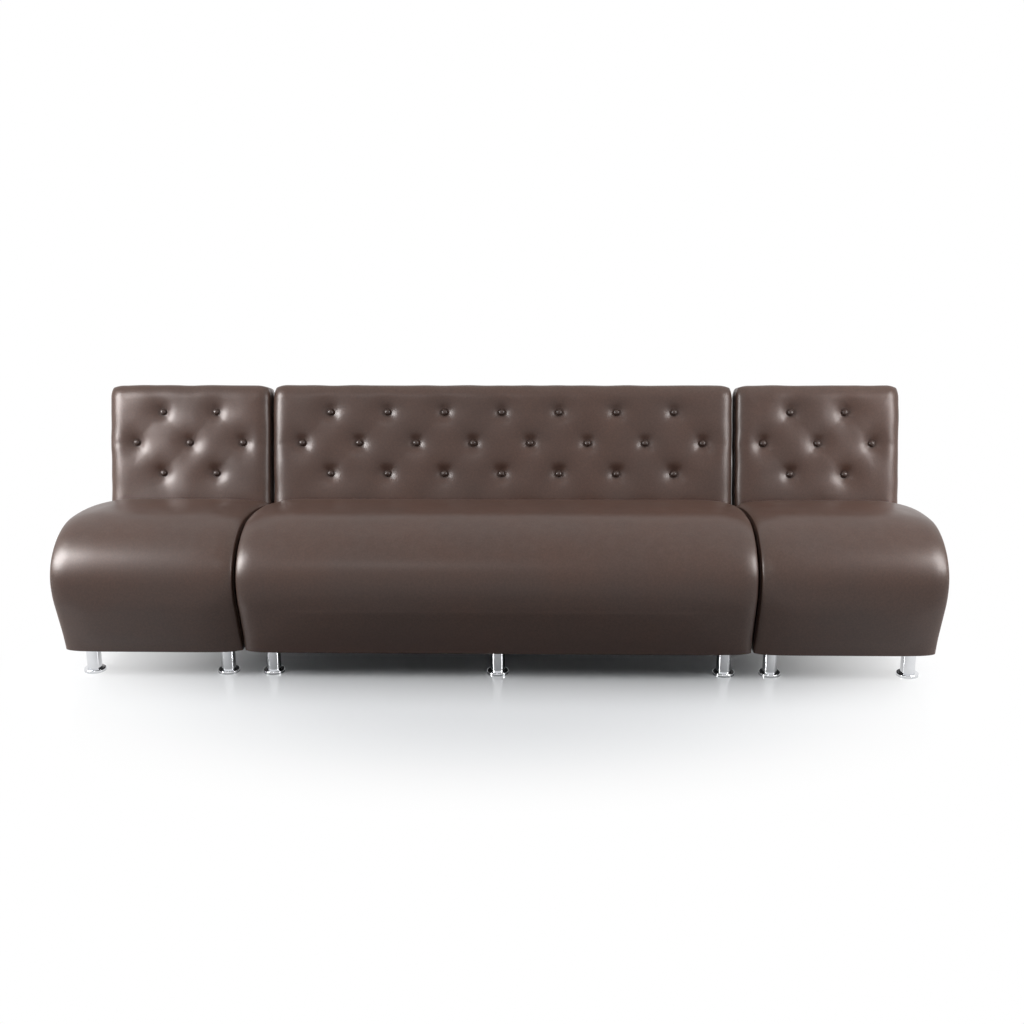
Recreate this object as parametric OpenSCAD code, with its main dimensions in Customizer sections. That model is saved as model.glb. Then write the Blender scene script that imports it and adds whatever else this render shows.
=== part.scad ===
// Waiting-room seating row without arms: a single section, a three-seat section and another
// single section stand side by side. Each has a rolled seat on chrome legs and a reclined,
// buttoned back. X runs along the row, Y to the rear and Z up. The origin lies on the floor,
// under the middle of the row. Section drawings take Y from the line where seat meets back.

/* [Row] */
// Width of a single section, over the crowns of its seat sides
single_w = 560; // [520:1:620]
// Width of the three-seat section, over the crowns of its seat sides
centre_w = 1568; // [1450:1:1750]
// Gap between two sections where their seat sides come closest
section_gap = 0.6; // [0.4:0.1:0.9]
// Seats in the middle section
centre_seats = 3; // [2:1:4]

/* [Seat] */
// Height of the seat's lower edge above the floor
seat_bottom = 92; // [80:1:105]
// Height of the line where the seat meets the back
junction_h = 451; // [430:1:470]
// Rise of the seat's crest above that line
crest_rise = 48; // [40:1:56]
// Distance from the back's face forward to the crest
crest_reach = 344; // [320:1:370]
// Distance from the crest forward to the front of the roll
roll_d = 228; // [205:1:250]
// Drop from the crest to the front-most line of the roll
roll_h = 171; // [155:1:190]
// Radius with which the roll turns under
under_r = 217; // [180:1:250]
// Lean of the lower front, in degrees from the vertical
under_lean = 20.5; // [17:0.5:24]
// Width over which the covers bow towards a side edge
edge_bow = 58; // [50:1:66]
// How far the outline is drawn in at a side edge
edge_draw = 20; // [16:1:24]
// Crown of the seat's sides
side_crown = 3; // [2:0.5:5]
// Thickness of the seat's leatherette with its wadding
seat_wadding = 12; // [9:1:15]
// Thickness of the padded side wall of the seat, without its crown
seat_side_wall = 18; // [16:1:24]
// Thickness of the foam in front of the frame at the roll
roll_foam = 68; // [55:1:80]
// Thickness of the foam in front of the frame at the lower edge
toe_foam = 20; // [14:1:30]

/* [Back] */
// Recline of the back, in degrees from the vertical
recline = 13.2; // [10:0.1:16]
// Length of the back above the seat, along its face
back_h = 390; // [370:1:430]
// Thickness of the back over its covers
back_t = 115; // [110:1:130]
// How far the side of the back stands in from the crown of the seat's side
back_inset = 5; // [3:0.5:8]
// Rounding of the back's top corners and front edges
back_round = 30; // [24:1:36]
// Thickness of the back's front cover with its wadding
back_wadding = 18; // [17:1:22]
// Wall of the back's cover at the sides, top and rear
back_wall = 5; // [4:0.5:6]
// Thickness of the foam slab in the back
back_foam_t = 40; // [30:1:45]
// Thickness of the plywood panel behind the foam
back_panel_t = 10; // [6:1:12]
// Thickness of the panel that closes the back's frame at the rear
back_board_t = 5; // [3:1:6]
// Width of the battens in the back's frame
batten_w = 40; // [30:1:50]

/* [Buttons] */
// Diameter of a covered button
button_d = 22; // [18:1:26]
// Height of a covered button
button_h = 8; // [6:1:10]
// Depth to which a button is drawn into the cover
tuft_depth = 14; // [8:1:15]
// Room round a button on the floor of its tuft
tuft_room = 3; // [2:0.5:5]
// Distance over which the cover rises from a tuft
tuft_rise = 24; // [18:1:30]
// Distance from the side of a single section to its outer button
single_button_margin = 98; // [88:1:110]
// Distance from the side of the three-seat section to its outer button
centre_button_margin = 105; // [88:1:115]
// Height of the lowest row of buttons above the seat, along the back
button_low = 89; // [75:1:95]
// Distance from the top of the back down to the highest row
button_top = 93; // [85:1:105]
// Buttons in the middle row of a single section
single_buttons = 3; // [2:1:4]
// Buttons in the middle row of the three-seat section
centre_buttons = 8; // [6:1:9]
// Diameter of the tie that draws a button in
tie_d = 3; // [2:0.5:4]
// Diameter of the clip behind the panel that holds a tie
clip_d = 16; // [12:1:20]
// Thickness of that clip
clip_t = 2; // [1:0.5:3]

/* [Frame] */
// Drop from the line where seat meets back to the webbing that carries the foam
web_drop = 71; // [62:1:85]
// Drop from the webbing to the rail on which the back stands
deck_drop = 40; // [30:1:50]
// Thickness of a plywood rib
rib_t = 18; // [12:1:22]
// Thickness of the plywood front board
front_board_t = 9; // [6:1:12]
// Thickness of the rails to which the legs are screwed
sole_t = 30; // [26:1:40]
// Height of the rails under the webbing and the back
rail_h = 45; // [35:1:55]
// Depth of the rails under the webbing
rail_d = 40; // [30:1:50]
// Width of a webbing strap
web_w = 60; // [50:1:70]
// Thickness of a webbing strap
web_t = 2; // [1:0.5:3]
// Straps under each seat
straps = 4; // [3:1:5]
// Thickness of the cloth under the seat
cloth_t = 1; // [0.5:0.1:1.5]
// Thickness of the cover at the rear of the seat box
rear_skin = 4; // [3:0.5:6]

/* [Legs and feet] */
// Outer diameter of a leg tube
leg_d = 45; // [40:1:50]
// Wall of a leg tube
leg_wall = 1.5; // [1:0.1:2.5]
// Distance from the foot of the front board back to the plates of the front legs
front_leg_inset = 6; // [3:1:15]
// Distance from the rear of the frame forward to the plates of the rear legs
rear_leg_inset = 5; // [3:1:15]
// Distance from the side of a single section's frame to the plates of its legs
single_leg_inset = 7; // [3:1:20]
// Distance from the side of the three-seat section's frame to the plates of its outer legs
centre_leg_inset = 18; // [3:1:30]
// Width of the square plate on top of a leg
plate_w = 76; // [70:1:80]
// Thickness of that plate
plate_t = 3; // [2:0.5:4]
// Distance from the edge of that plate to its screws
plate_margin = 8; // [6:1:10]
// Diameter of a screw's shank
screw_d = 4; // [3:0.5:5]
// Length of a screw
screw_l = 25; // [18:1:25]
// Diameter of a foot's flange
flange_d = 68; // [60:1:76]
// Thickness of a foot's flange with its glide
flange_t = 10; // [8:1:14]
// Radius of the flange's upper edge
flange_r = 4; // [2:0.5:5]
// Diameter of a foot's threaded stem
stem_d = 10; // [8:1:12]
// Thickness of the nut fixed in the lower end of a leg
nut_t = 14; // [10:1:18]
// Distance that a foot can be screwed out
foot_travel = 15; // [10:1:20]
// Length of stem left above the nut when a foot is screwed right out
stem_spare = 16; // [10:1:20]

/* [Hidden] */
$fn = 48;
// Overrun of every cut past the face that it opens
cut = 5;
// Gap between soft covers that rest against each other
soft_gap = 0.3;
// Gap round a stem in its nut and round a screw, a bolt or a tie in its hole
running_gap = 0.08;
// Gap between a foot's flange and the end of its leg
seat_play = 0.1;
// Bolts between seat and back
bolt_d = 8;
bolt_head_d = 14;
bolt_head_t = 5;
bolt_grip = 30;
// Heads of the screws in the leg plates
screw_head_d = 8;
screw_head_t = 2.5;
// Steps along the crown, the roll, the turn under and the rounding of the seat
top_steps = 5;
roll_steps = 9;
under_steps = 3;
round_steps = 4;
// Shares of the way from a side's edge to its middle at which its crown has a ring
crown_shares = [0.35, 0.7];
// Shares of the back's rounding at which its surface has a line, from flat to edge
edge_shares = [0.5, 0.866, 1];

section_names = ["left", "centre", "right"];
piece_names = ["seat_cover", "seat_foam", "seat_frame", "seat_webbing", "base_cloth",
               "back_cover", "back_foam", "back_frame", "back_board", "buttons"];
section_w = [single_w, centre_w, single_w];
section_x = [-(centre_w + single_w)/2, 0, (centre_w + single_w)/2];
section_seats = [1, centre_seats, 1];
section_buttons = [single_buttons, centre_buttons, single_buttons];
leg_inset = [single_leg_inset, centre_leg_inset, single_leg_inset];
button_margin = [single_button_margin, centre_button_margin, single_button_margin];
legs_per_side = [2, 3, 2];

leather = [0.35, 0.27, 0.24];
foam_yellow = [0.86, 0.80, 0.58];
plywood = [0.76, 0.62, 0.43];
chrome = [0.80, 0.81, 0.83];
steel = [0.60, 0.61, 0.63];
black_cloth = [0.12, 0.12, 0.13];
strap_grey = [0.30, 0.30, 0.32];

// Places in the section drawing, worked out from the sizes above
seat_crest = junction_h + crest_rise;
bulge_h = seat_crest - roll_h;
front_reach = crest_reach + roll_d;
web_h = junction_h - web_drop;
deck_h = web_h - deck_drop;
rail_z = web_h - rail_h;
button_row_pitch = (back_h - button_low - button_top)/2;
back_foot_rear = foot_z(back_t);
box_back = back_t*cos(recline) + back_foot_rear*sin(recline);
rear_reach = face_y(back_t, back_h - back_wall);
junction_y = (front_reach - rear_reach)/2;
cavity_drop = side_crown + seat_side_wall;
sole_z = seat_bottom + cloth_t;
box_in = box_back - rear_skin;
back_skin = soft_gap + rear_skin;
nose_y = -(front_reach - seat_wadding - roll_foam);
rear_leg_y = box_in - rear_leg_inset - plate_w/2;
batten_y = back_wadding + back_foam_t + back_panel_t;
batten_end = back_t - back_wall - back_board_t;
bolt_y = face_y((batten_y + batten_end)/2, foot_z((batten_y + batten_end)/2) + bolt_grip/2);

// Y of the back's face at height z, and of a point in the back's own drawing
function plane_y(z) = (z - junction_h)*tan(recline);
function face_y(y, z) = y*cos(recline) + z*sin(recline);
// Height, in the back's own drawing, of the level foot on which the back stands
function foot_z(y) = (deck_h - junction_h + y*sin(recline))/cos(recline);

// The seat's skin from behind its crest to the turn under, as [y, z, normal y, normal z]
top_r = (crest_reach*crest_reach + crest_rise*crest_rise)/(2*crest_rise);
top_angle = asin(crest_reach/top_r);
top_skin = [for (i = [1:top_steps]) let (a = top_angle*(1 - i/top_steps))
    [top_r*sin(a) - crest_reach, seat_crest - top_r*(1 - cos(a)), sin(a), cos(a)]];
roll_skin = [for (i = [1:roll_steps])
    let (t = 90*i/roll_steps, n = [sin(t)/roll_d, cos(t)/roll_h], m = n/norm(n))
    [-crest_reach - roll_d*sin(t), bulge_h + roll_h*cos(t), -m[0], m[1]]];
under_skin = [for (i = [1:under_steps]) let (s = under_lean*i/under_steps)
    [under_r*(1 - cos(s)) - front_reach, bulge_h - under_r*sin(s), -cos(s), -sin(s)]];
seat_skin = concat(top_skin, roll_skin, under_skin);
skin_end = under_skin[under_steps - 1];

// The skin, its upper rear corner and its lower front corner, all drawn in by d
function skin_in(d) = [for (p = seat_skin) [p[0] - d*p[2], p[1] - d*p[3]]];
function heel(d, gap) = [plane_y(junction_h - d) - gap, junction_h - d];
function toe_y(z, d) = skin_end[0] + (skin_end[1] - z)*tan(under_lean) + d/cos(under_lean);
board_toe = toe_y(sole_z, seat_wadding + toe_foam);
front_leg_y = board_toe + front_leg_inset + plate_w/2;

// Outline of the seat box in side view: the skin drawn in by d, then the box behind it
function seat_outline(d) = concat([heel(d, soft_gap)], skin_in(d),
    [[toe_y(seat_bottom, d), seat_bottom], [box_back, seat_bottom], [box_back, deck_h],
     [plane_y(deck_h) - soft_gap, deck_h]]);
function seat_inside(d) = concat([heel(d, back_skin)], skin_in(d),
    [[toe_y(seat_bottom - cut, d), seat_bottom - cut], [box_in, seat_bottom - cut],
     [box_in, deck_h + cut], [plane_y(deck_h + cut) - back_skin, deck_h + cut]]);

// One ring of the seat's form at x, drawn in by d and then towards the middle by a share
side_mid = [-front_reach/2, (seat_bottom + seat_crest)/2];
function seat_ring(x, d, share) = [for (p = seat_outline(d))
    [x, p[0] + share*(side_mid[0] - p[0]), p[1] + share*(side_mid[1] - p[1])]];
// Stations of those rings on the right half, as [x, d, share]
function half_stations(w) = concat(
    [for (i = [0:round_steps]) let (a = 90*i/round_steps)
        [w/2 - side_crown - edge_bow*(1 - sin(a)), edge_draw*(1 - cos(a)), 0]],
    [for (s = crown_shares) [w/2 - side_crown*(1 - s)*(1 - s), edge_draw, s]]);
// Width of the frame, the foam and the hollow of section s, inside its padded sides
function frame_w(s) = section_w[s] - section_gap - 2*cavity_drop;

// Places of the buttons of section s in the back's own drawing, as [x, z]
function button_pitch(s) = (section_w[s] - 2*button_margin[s])/(section_buttons[s] - 1);
function button_places(s) = [for (row = [0:2]) let (n = section_buttons[s] - (row == 1 ? 0 : 1))
    for (i = [0:n - 1])
        [(i - (n - 1)/2)*button_pitch(s), button_low + row*button_row_pitch]];
// Depth of the tufts at a point: level under each button, then rising to the crown between them
tuft_half = button_d/2 + tuft_room;
function tuft(x, z, places) = tuft_depth*max([for (b = places)
    let (rise = max(0, norm([x, z] - b) - norm([tuft_half, tuft_half]))/tuft_rise)
        exp(-rise*rise)]);

// Moves a section's drawing to its place in the row
module in_row(s) translate([section_x[s], junction_y, 0]) children();
// Tips the back's own drawing back about the line where seat meets back
module tipped() translate([0, 0, junction_h]) rotate([-recline, 0, 0]) children();
// A plate of side-view outline, w wide, with its middle at x
module across(w, points, x = 0)
    translate([x - w/2, 0, 0]) rotate([90, 0, 90]) linear_extrude(w) polygon(points);
// A box between two corners
module span(low, high) translate(low) cube(high - low);

// A closed form through rings of equal length, from its low tip to its high tip
module loft(rings, low_tip, high_tip) {
    n = len(rings[0]);
    m = len(rings);
    points = concat([for (r = rings) for (p = r) p], [low_tip, high_tip]);
    walls = [for (k = [0:m - 2]) for (i = [0:n - 1])
        let (j = (i + 1) % n, a = k*n + i, b = k*n + j, c = b + n, d = a + n)
        each [[a, c, b], [a, d, c]]];
    low_cap = [for (i = [0:n - 1]) [i, (i + 1) % n, m*n]];
    high_cap = [for (i = [0:n - 1]) [(m - 1)*n + (i + 1) % n, (m - 1)*n + i, m*n + 1]];
    polyhedron(points, concat(walls, low_cap, high_cap));
}

// The seat's outer form: rolled front, rounded side edges and crowned sides
module seat_form(w) {
    half = half_stations(w);
    last = len(half) - 1;
    rings = concat(
        [for (i = [last:-1:0]) seat_ring(-half[i][0], half[i][1], half[i][2])],
        [for (i = [0:last]) seat_ring(half[i][0], half[i][1], half[i][2])]);
    loft(rings, [-w/2, side_mid[0], side_mid[1]], [w/2, side_mid[0], side_mid[1]]);
}

// Leatherette cover of a seat with its wadding, open below and under the back
module seat_cover(s) {
    color(leather) in_row(s) difference() {
        seat_form(section_w[s] - section_gap);
        across(frame_w(s), seat_inside(seat_wadding));
    }
}

// Foam of a seat: a pad on the webbing that rolls down over the front board
module seat_foam(s) {
    top = web_h + web_t;
    color(foam_yellow) in_row(s) across(frame_w(s), concat([heel(seat_wadding, back_skin)],
        skin_in(seat_wadding), [[toe_y(sole_z, seat_wadding), sole_z], [board_toe, sole_z],
        [nose_y, web_h], [nose_y, top], [plane_y(top) - back_skin, top]]));
}

// Outline of a rib in side view
function rib_outline() = [[plane_y(web_h) - back_skin, web_h], [nose_y, web_h],
    [board_toe, sole_z], [box_in, sole_z], [box_in, deck_h],
    [plane_y(deck_h) - back_skin, deck_h]];
// Places of the ribs across a frame w wide
function rib_places(s, w) = [for (i = [0:section_seats[s]])
    (w - rib_t)*(i/section_seats[s] - 1/2)];
// Places of a section's legs, in the section's own drawing
function leg_places(s) = let (n = legs_per_side[s], reach = (frame_w(s) - plate_w)/2 - leg_inset[s])
    [for (y = [front_leg_y, rear_leg_y]) for (i = [0:n - 1]) [reach*(2*i/(n - 1) - 1), y]];
function bolt_places(s) = let (n = 1 + section_seats[s], pitch = section_w[s]/(n + 1))
    [for (i = [0:n - 1]) [(i - (n - 1)/2)*pitch, bolt_y]];
// Y of the front board's face at height z
function board_y(z) = nose_y + (web_h - z)*(board_toe - nose_y)/(web_h - sole_z);
// Outline in side view of a rail between two depths and two heights
function rail(y0, y1, z0, z1) = [[y0, z0], [y1, z0], [y1, z1], [y0, z1]];
// Places of the screws in a leg plate, from the leg's axis
plate_corners = [for (x = [-1, 1]) for (y = [-1, 1]) [x, y]*(plate_w/2 - plate_margin)];

// Plywood ribs, front board and rails of a seat, drilled for the legs and the back
module seat_frame(s) {
    w = frame_w(s);
    web_end = plane_y(rail_z) - back_skin;
    color(plywood) in_row(s) difference() {
        union() {
            for (x = rib_places(s, w)) across(rib_t, rib_outline(), x);
            across(w, [[nose_y, web_h], [board_toe, sole_z], [board_toe + front_board_t, sole_z],
                       [nose_y + front_board_t, web_h]]);
            across(w, [[board_y(rail_z), rail_z], [nose_y + rail_d, rail_z],
                       [nose_y + rail_d, web_h], [nose_y, web_h]]);
            across(w, rail(web_end - rail_d, web_end, rail_z, web_h));
            across(w, rail(web_end - rail_d, box_in, deck_h - rail_h, deck_h));
            across(w, rail(board_toe, front_leg_y + plate_w/2, sole_z, sole_z + sole_t));
            across(w, rail(rear_leg_y - plate_w/2, box_in, sole_z, sole_z + sole_t));
        }
        for (p = leg_places(s)) for (c = plate_corners)
            translate([p[0] + c[0], p[1] + c[1], sole_z - cut])
                cylinder(d = screw_d + 2*running_gap, h = screw_l + cut);
        for (p = bolt_places(s)) translate([p[0], p[1], deck_h - rail_h - cut])
            cylinder(d = bolt_d + 2*running_gap, h = rail_h + 2*cut);
    }
}

// Elastic straps from the front rail to the rail behind, under the seat foam
module seat_webbing(s) {
    w = frame_w(s);
    n = straps*section_seats[s];
    color(strap_grey) in_row(s) for (i = [0:n - 1]) translate([w*((i + 1/2)/n - 1/2), 0, 0])
        span([-web_w/2, nose_y, web_h], [web_w/2, plane_y(web_h) - back_skin, web_h + web_t]);
}

// Cloth that closes the seat from below, cut out round the leg plates
module base_cloth(s) {
    w = frame_w(s);
    hole = plate_w/2 + soft_gap;
    color(black_cloth) in_row(s) difference() {
        span([-w/2, toe_y(seat_bottom, seat_wadding) + soft_gap, seat_bottom],
             [w/2, box_in, sole_z]);
        for (p = leg_places(s)) span([p[0] - hole, p[1] - hole, seat_bottom - cut],
                                     [p[0] + hole, p[1] + hole, sole_z + cut]);
    }
}

// Lines across the back's form, as [x, share of the rounding]
function form_columns(s, w) = let (flat = w/2 - back_round, p = button_pitch(s)/2,
                                   n = 2*section_buttons[s] - 1)
    concat([for (i = [2:-1:0]) [-flat, -edge_shares[i]]], [[-flat, 0]],
           [for (i = [0:n - 1]) for (d = [-tuft_half, tuft_half, p/2])
               if (i < n - 1 || d < p/2) [(i - (n - 1)/2)*p + d, 0]],
           [[flat, 0]], [for (e = edge_shares) [flat, e]]);
// Lines up the back's form, as [z, share of the rounding], above its foot
function form_rows() = concat([[0, 0]],
    [for (row = [0:2]) for (d = [-tuft_half, tuft_half, button_row_pitch/2])
        if (row < 2 || d < button_row_pitch/2) [button_low + row*button_row_pitch + d, 0]],
    [[back_h - back_round, 0]], [for (e = edge_shares) [back_h - back_round, e]]);
// A share pair (p, q) on the quarter disc of a rounded corner
function on_disc(p, q) = [p*sqrt(1 - q*q/2), q*sqrt(1 - p*p/2)];
function front_point(c, r, places) = let (e = on_disc(c[1], r[1]),
    x = c[0] + back_round*e[0], z = r[0] + back_round*e[1])
    [x, back_round*(1 - sqrt(max(0, 1 - e*e))) + tuft(x, z, places), z];

// The back's outer form: buttoned front, rounded top corners and front edges, flat rear
module back_form(s) {
    cols = form_columns(s, section_w[s] - 2*back_inset);
    rows = form_rows();
    places = button_places(s);
    nc = len(cols);
    nr = len(rows);
    foot_row = [for (c = cols) let (p = front_point(c, rows[0], places)) [p[0], p[1], foot_z(p[1])]];
    front = concat(foot_row, [for (r = rows) for (c = cols) front_point(c, r, places)]);
    // Grid indices round the front's edge: up the left, along the top, down the right, back
    rim = concat([for (j = [0:nr]) j*nc], [for (i = [1:nc - 1]) nr*nc + i],
                 [for (j = [nr - 1:-1:0]) j*nc + nc - 1], [for (i = [nc - 2:-1:1]) i]);
    nl = len(rim);
    // The rim carried back to the rear's edge, then drawn in to the flat rear
    side = [for (k = rim) let (p = front[k], low = k < nc, y = back_t - back_wall)
        [p[0], y, low ? foot_z(y) : p[2]]];
    rear = [for (k = rim) let (p = front[k], low = k < nc, c = cols[k % nc],
                               q = low ? 0 : rows[floor(k/nc) - 1][1], e = on_disc(c[1], q))
        [p[0] - back_wall*e[0], back_t, low ? foot_z(back_t) : p[2] - back_wall*e[1]]];
    base = len(front);
    points = concat(front, side, rear, [[0, back_t, back_h/2]]);
    face = [for (j = [0:nr - 1]) for (i = [0:nc - 2])
        let (a = j*nc + i, b = a + 1, c = b + nc, d = a + nc) each [[a, c, b], [a, d, c]]];
    wall = [for (k = [0:nl - 1]) let (m = (k + 1) % nl, a = rim[k], b = rim[m],
        c = base + m, d = base + k, e = base + nl + m, f = base + nl + k)
        each [[a, c, b], [a, d, c], [d, e, c], [d, f, e]]];
    rear_face = [for (k = [0:nl - 1]) [base + nl + k, base + 2*nl, base + nl + (k + 1) % nl]];
    polyhedron(points, concat(face, wall, rear_face));
}

// A slab of the back between depths y0 and y1, inset from its outline, on its level foot
module back_slab(s, inset, y0, y1, drop = 0) {
    w = section_w[s] - 2*back_inset - 2*inset;
    top = back_h - inset;
    r = back_round - inset;
    low = foot_z(y0) - 2*cut - drop;
    intersection() {
        translate([0, y1, 0]) rotate([90, 0, 0]) linear_extrude(y1 - y0) {
            translate([-w/2, low]) square([w, top - r - low]);
            translate([r - w/2, low]) square([w - 2*r, top - low]);
            for (x = [-1, 1]) translate([x*(w/2 - r), top - r]) circle(r);
        }
        across(w + 2*cut, [[y0 - cut, foot_z(y0 - cut) - drop], [y1 + cut, foot_z(y1 + cut) - drop],
                           [y1 + cut, top + cut], [y0 - cut, top + cut]]);
    }
}

// Holes through a back for the ties of its buttons
module tie_holes(s, y0, y1) for (b = button_places(s))
    translate([b[0], y1, b[1]]) rotate([90, 0, 0]) cylinder(d = tie_d + 2*running_gap, h = y1 - y0);

// Leatherette cover of a back with its wadding, open at its foot
module back_cover(s) {
    color(leather) in_row(s) tipped() difference() {
        back_form(s);
        back_slab(s, back_wall, back_wadding, back_t - back_wall, 2*cut);
        tie_holes(s, 0, back_wadding + cut);
    }
}

// Foam slab of a back
module back_foam(s) {
    color(foam_yellow) in_row(s) tipped() difference() {
        back_slab(s, back_wall, back_wadding, back_wadding + back_foam_t);
        tie_holes(s, back_wadding - cut, batten_y);
    }
}

// Plywood panel of a back on a frame of battens, drilled for the ties and the bolts
module back_frame(s) {
    w = section_w[s] - 2*back_inset - 2*back_wall;
    half_pitch = button_pitch(s)/2;
    n = section_seats[s];
    // Stiles stand midway between two columns of buttons, close to the bounds of the seats
    stiles = [for (i = [1:1:n - 1]) half_pitch*(floor(w*(i/n - 1/2)/half_pitch) + 1/2)];
    edges = concat([batten_w/2 - w/2], stiles, [w/2 - batten_w/2]);
    color(plywood) in_row(s) difference() {
        tipped() difference() {
            back_slab(s, back_wall, batten_y - back_panel_t, batten_end);
            for (i = [0:len(edges) - 2])
                span([edges[i] + batten_w/2, batten_y, foot_z(batten_end) + batten_w],
                     [edges[i + 1] - batten_w/2, batten_end + cut, back_h - back_wall - batten_w]);
            tie_holes(s, batten_y - back_panel_t - cut, batten_y + cut);
        }
        for (p = bolt_places(s)) translate([p[0], p[1], deck_h - cut])
            cylinder(d = bolt_d + 2*running_gap, h = bolt_grip + cut);
    }
}

// Panel that closes the back's frame at the rear
module back_board(s) {
    color(plywood) in_row(s) tipped() back_slab(s, back_wall, batten_end, back_t - back_wall);
}

// Covered buttons with their ties, each held by a clip behind the panel
module buttons(s) {
    dome_r = (button_d*button_d/4 + button_h*button_h)/(2*button_h);
    tie_l = batten_y + running_gap - tuft_depth;
    color(leather) in_row(s) tipped() for (b = button_places(s))
        translate([b[0], tuft_depth, b[1]]) rotate([90, 0, 0]) {
            rotate_extrude() translate([0, soft_gap]) intersection() {
                translate([0, button_h - dome_r]) circle(dome_r);
                square([button_d/2, button_h]);
            }
            translate([0, 0, -tie_l]) cylinder(d = tie_d, h = tie_l + button_h/2);
            translate([0, 0, -tie_l - clip_t]) cylinder(d = clip_d, h = clip_t);
        }
}

// Wood screws that hold the leg plates to the frames
module leg_screws() {
    color(steel) for (s = [0:2]) in_row(s) for (p = leg_places(s)) for (c = plate_corners)
        translate([p[0] + c[0], p[1] + c[1], sole_z - plate_t]) {
            cylinder(d = screw_d, h = screw_l);
            translate([0, 0, -screw_head_t]) cylinder(d = screw_head_d, h = screw_head_t);
        }
}

// Bolts that hold the backs to the seats, put in from below
module back_bolts() {
    color(steel) for (s = [0:2]) in_row(s) for (p = bolt_places(s))
        translate([p[0], p[1], deck_h - rail_h - bolt_head_t]) {
            cylinder(d = bolt_head_d, h = bolt_head_t, $fn = 6);
            cylinder(d = bolt_d, h = bolt_head_t + rail_h + bolt_grip - running_gap);
        }
}

// Chrome leg: tube, screw plate on top and a nut fixed in the lower end
module leg(s, n) {
    p = leg_places(s)[n - 1];
    low = flange_t + seat_play;
    plate_z = sole_z - plate_t;
    color(chrome) in_row(s) translate([p[0], p[1], 0]) difference() {
        union() {
            translate([0, 0, low]) cylinder(d = leg_d, h = plate_z - low + plate_t/2);
            span([-plate_w/2, -plate_w/2, plate_z], [plate_w/2, plate_w/2, sole_z]);
        }
        translate([0, 0, low + nut_t]) cylinder(d = leg_d - 2*leg_wall, h = plate_z - low - nut_t);
        translate([0, 0, low - cut]) cylinder(d = stem_d + 2*running_gap, h = nut_t + 2*cut);
        for (c = plate_corners) translate([c[0], c[1], plate_z - cut])
            cylinder(d = screw_d + 2*running_gap, h = plate_t + 2*cut);
    }
}

// Levelling foot: chrome flange with its glide, and a threaded stem that rises into the leg
module foot(s, n) {
    p = leg_places(s)[n - 1];
    r = flange_d/2;
    color(chrome) in_row(s) translate([p[0], p[1], 0]) {
        rotate_extrude() {
            square([r - flange_r, flange_t]);
            square([r, flange_t - flange_r]);
            translate([r - flange_r, flange_t - flange_r]) circle(flange_r);
        }
        translate([0, 0, flange_t/2])
            cylinder(d = stem_d, h = flange_t/2 + seat_play + nut_t + foot_travel + stem_spare);
    }
}

for (s = [0:2]) {
    seat_cover(s);
    seat_foam(s);
    seat_frame(s);
    seat_webbing(s);
    base_cloth(s);
    back_cover(s);
    back_foam(s);
    back_frame(s);
    back_board(s);
    buttons(s);
    for (n = [1:2*legs_per_side[s]]) {
        leg(s, n);
        foot(s, n);
    }
}
leg_screws();
back_bolts();
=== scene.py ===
# %% [markdown]
# # A row of waiting room seating, dressed in Blender
# The imported model gives every solid of the row in metres, already in place. This lesson dresses
# it: leatherette covers, covered buttons, stitching, foam, straps and chrome. The first cell
# loads the imported model.

# %% Load the imported model
import math

import bmesh
import bpy
import numpy as np
from mathutils import Matrix, Vector, noise
from mathutils.bvhtree import BVHTree


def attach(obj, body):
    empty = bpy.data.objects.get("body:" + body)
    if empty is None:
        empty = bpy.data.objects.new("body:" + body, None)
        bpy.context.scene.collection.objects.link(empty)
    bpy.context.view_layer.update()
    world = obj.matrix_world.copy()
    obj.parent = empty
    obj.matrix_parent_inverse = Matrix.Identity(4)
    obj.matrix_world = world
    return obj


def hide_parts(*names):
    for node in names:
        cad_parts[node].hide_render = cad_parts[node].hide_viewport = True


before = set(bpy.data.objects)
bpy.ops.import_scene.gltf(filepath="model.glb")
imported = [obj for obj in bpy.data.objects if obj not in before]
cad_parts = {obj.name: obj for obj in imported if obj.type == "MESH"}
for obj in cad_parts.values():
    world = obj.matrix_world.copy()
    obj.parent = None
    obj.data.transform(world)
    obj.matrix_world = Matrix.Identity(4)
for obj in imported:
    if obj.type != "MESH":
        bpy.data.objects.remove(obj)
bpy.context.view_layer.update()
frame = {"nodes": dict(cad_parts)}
scene, nodes = bpy.context.scene, frame["nodes"]

# %% [markdown]
# ## The camera
# The photograph was taken from in front, a little above the seats and a little right of the
# middle. A camera fitted to the outlines of the covers and buttons has the place, the angles and
# the lens below. Blender's camera looks along its own -Z, so its axes are built one by one.

# %% Camera
PIXELS, SENSOR, VIEW_DEPTH = 1024, 36.0, 60
CAMERA_PLACE = Vector((0.14026, -3.82864, 1.49316))
CAMERA_YAW, CAMERA_PITCH, CAMERA_ROLL = (math.radians(a) for a in (1.492, 15.104, -0.224))
FOCAL_PIXELS = 1226.85


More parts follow.
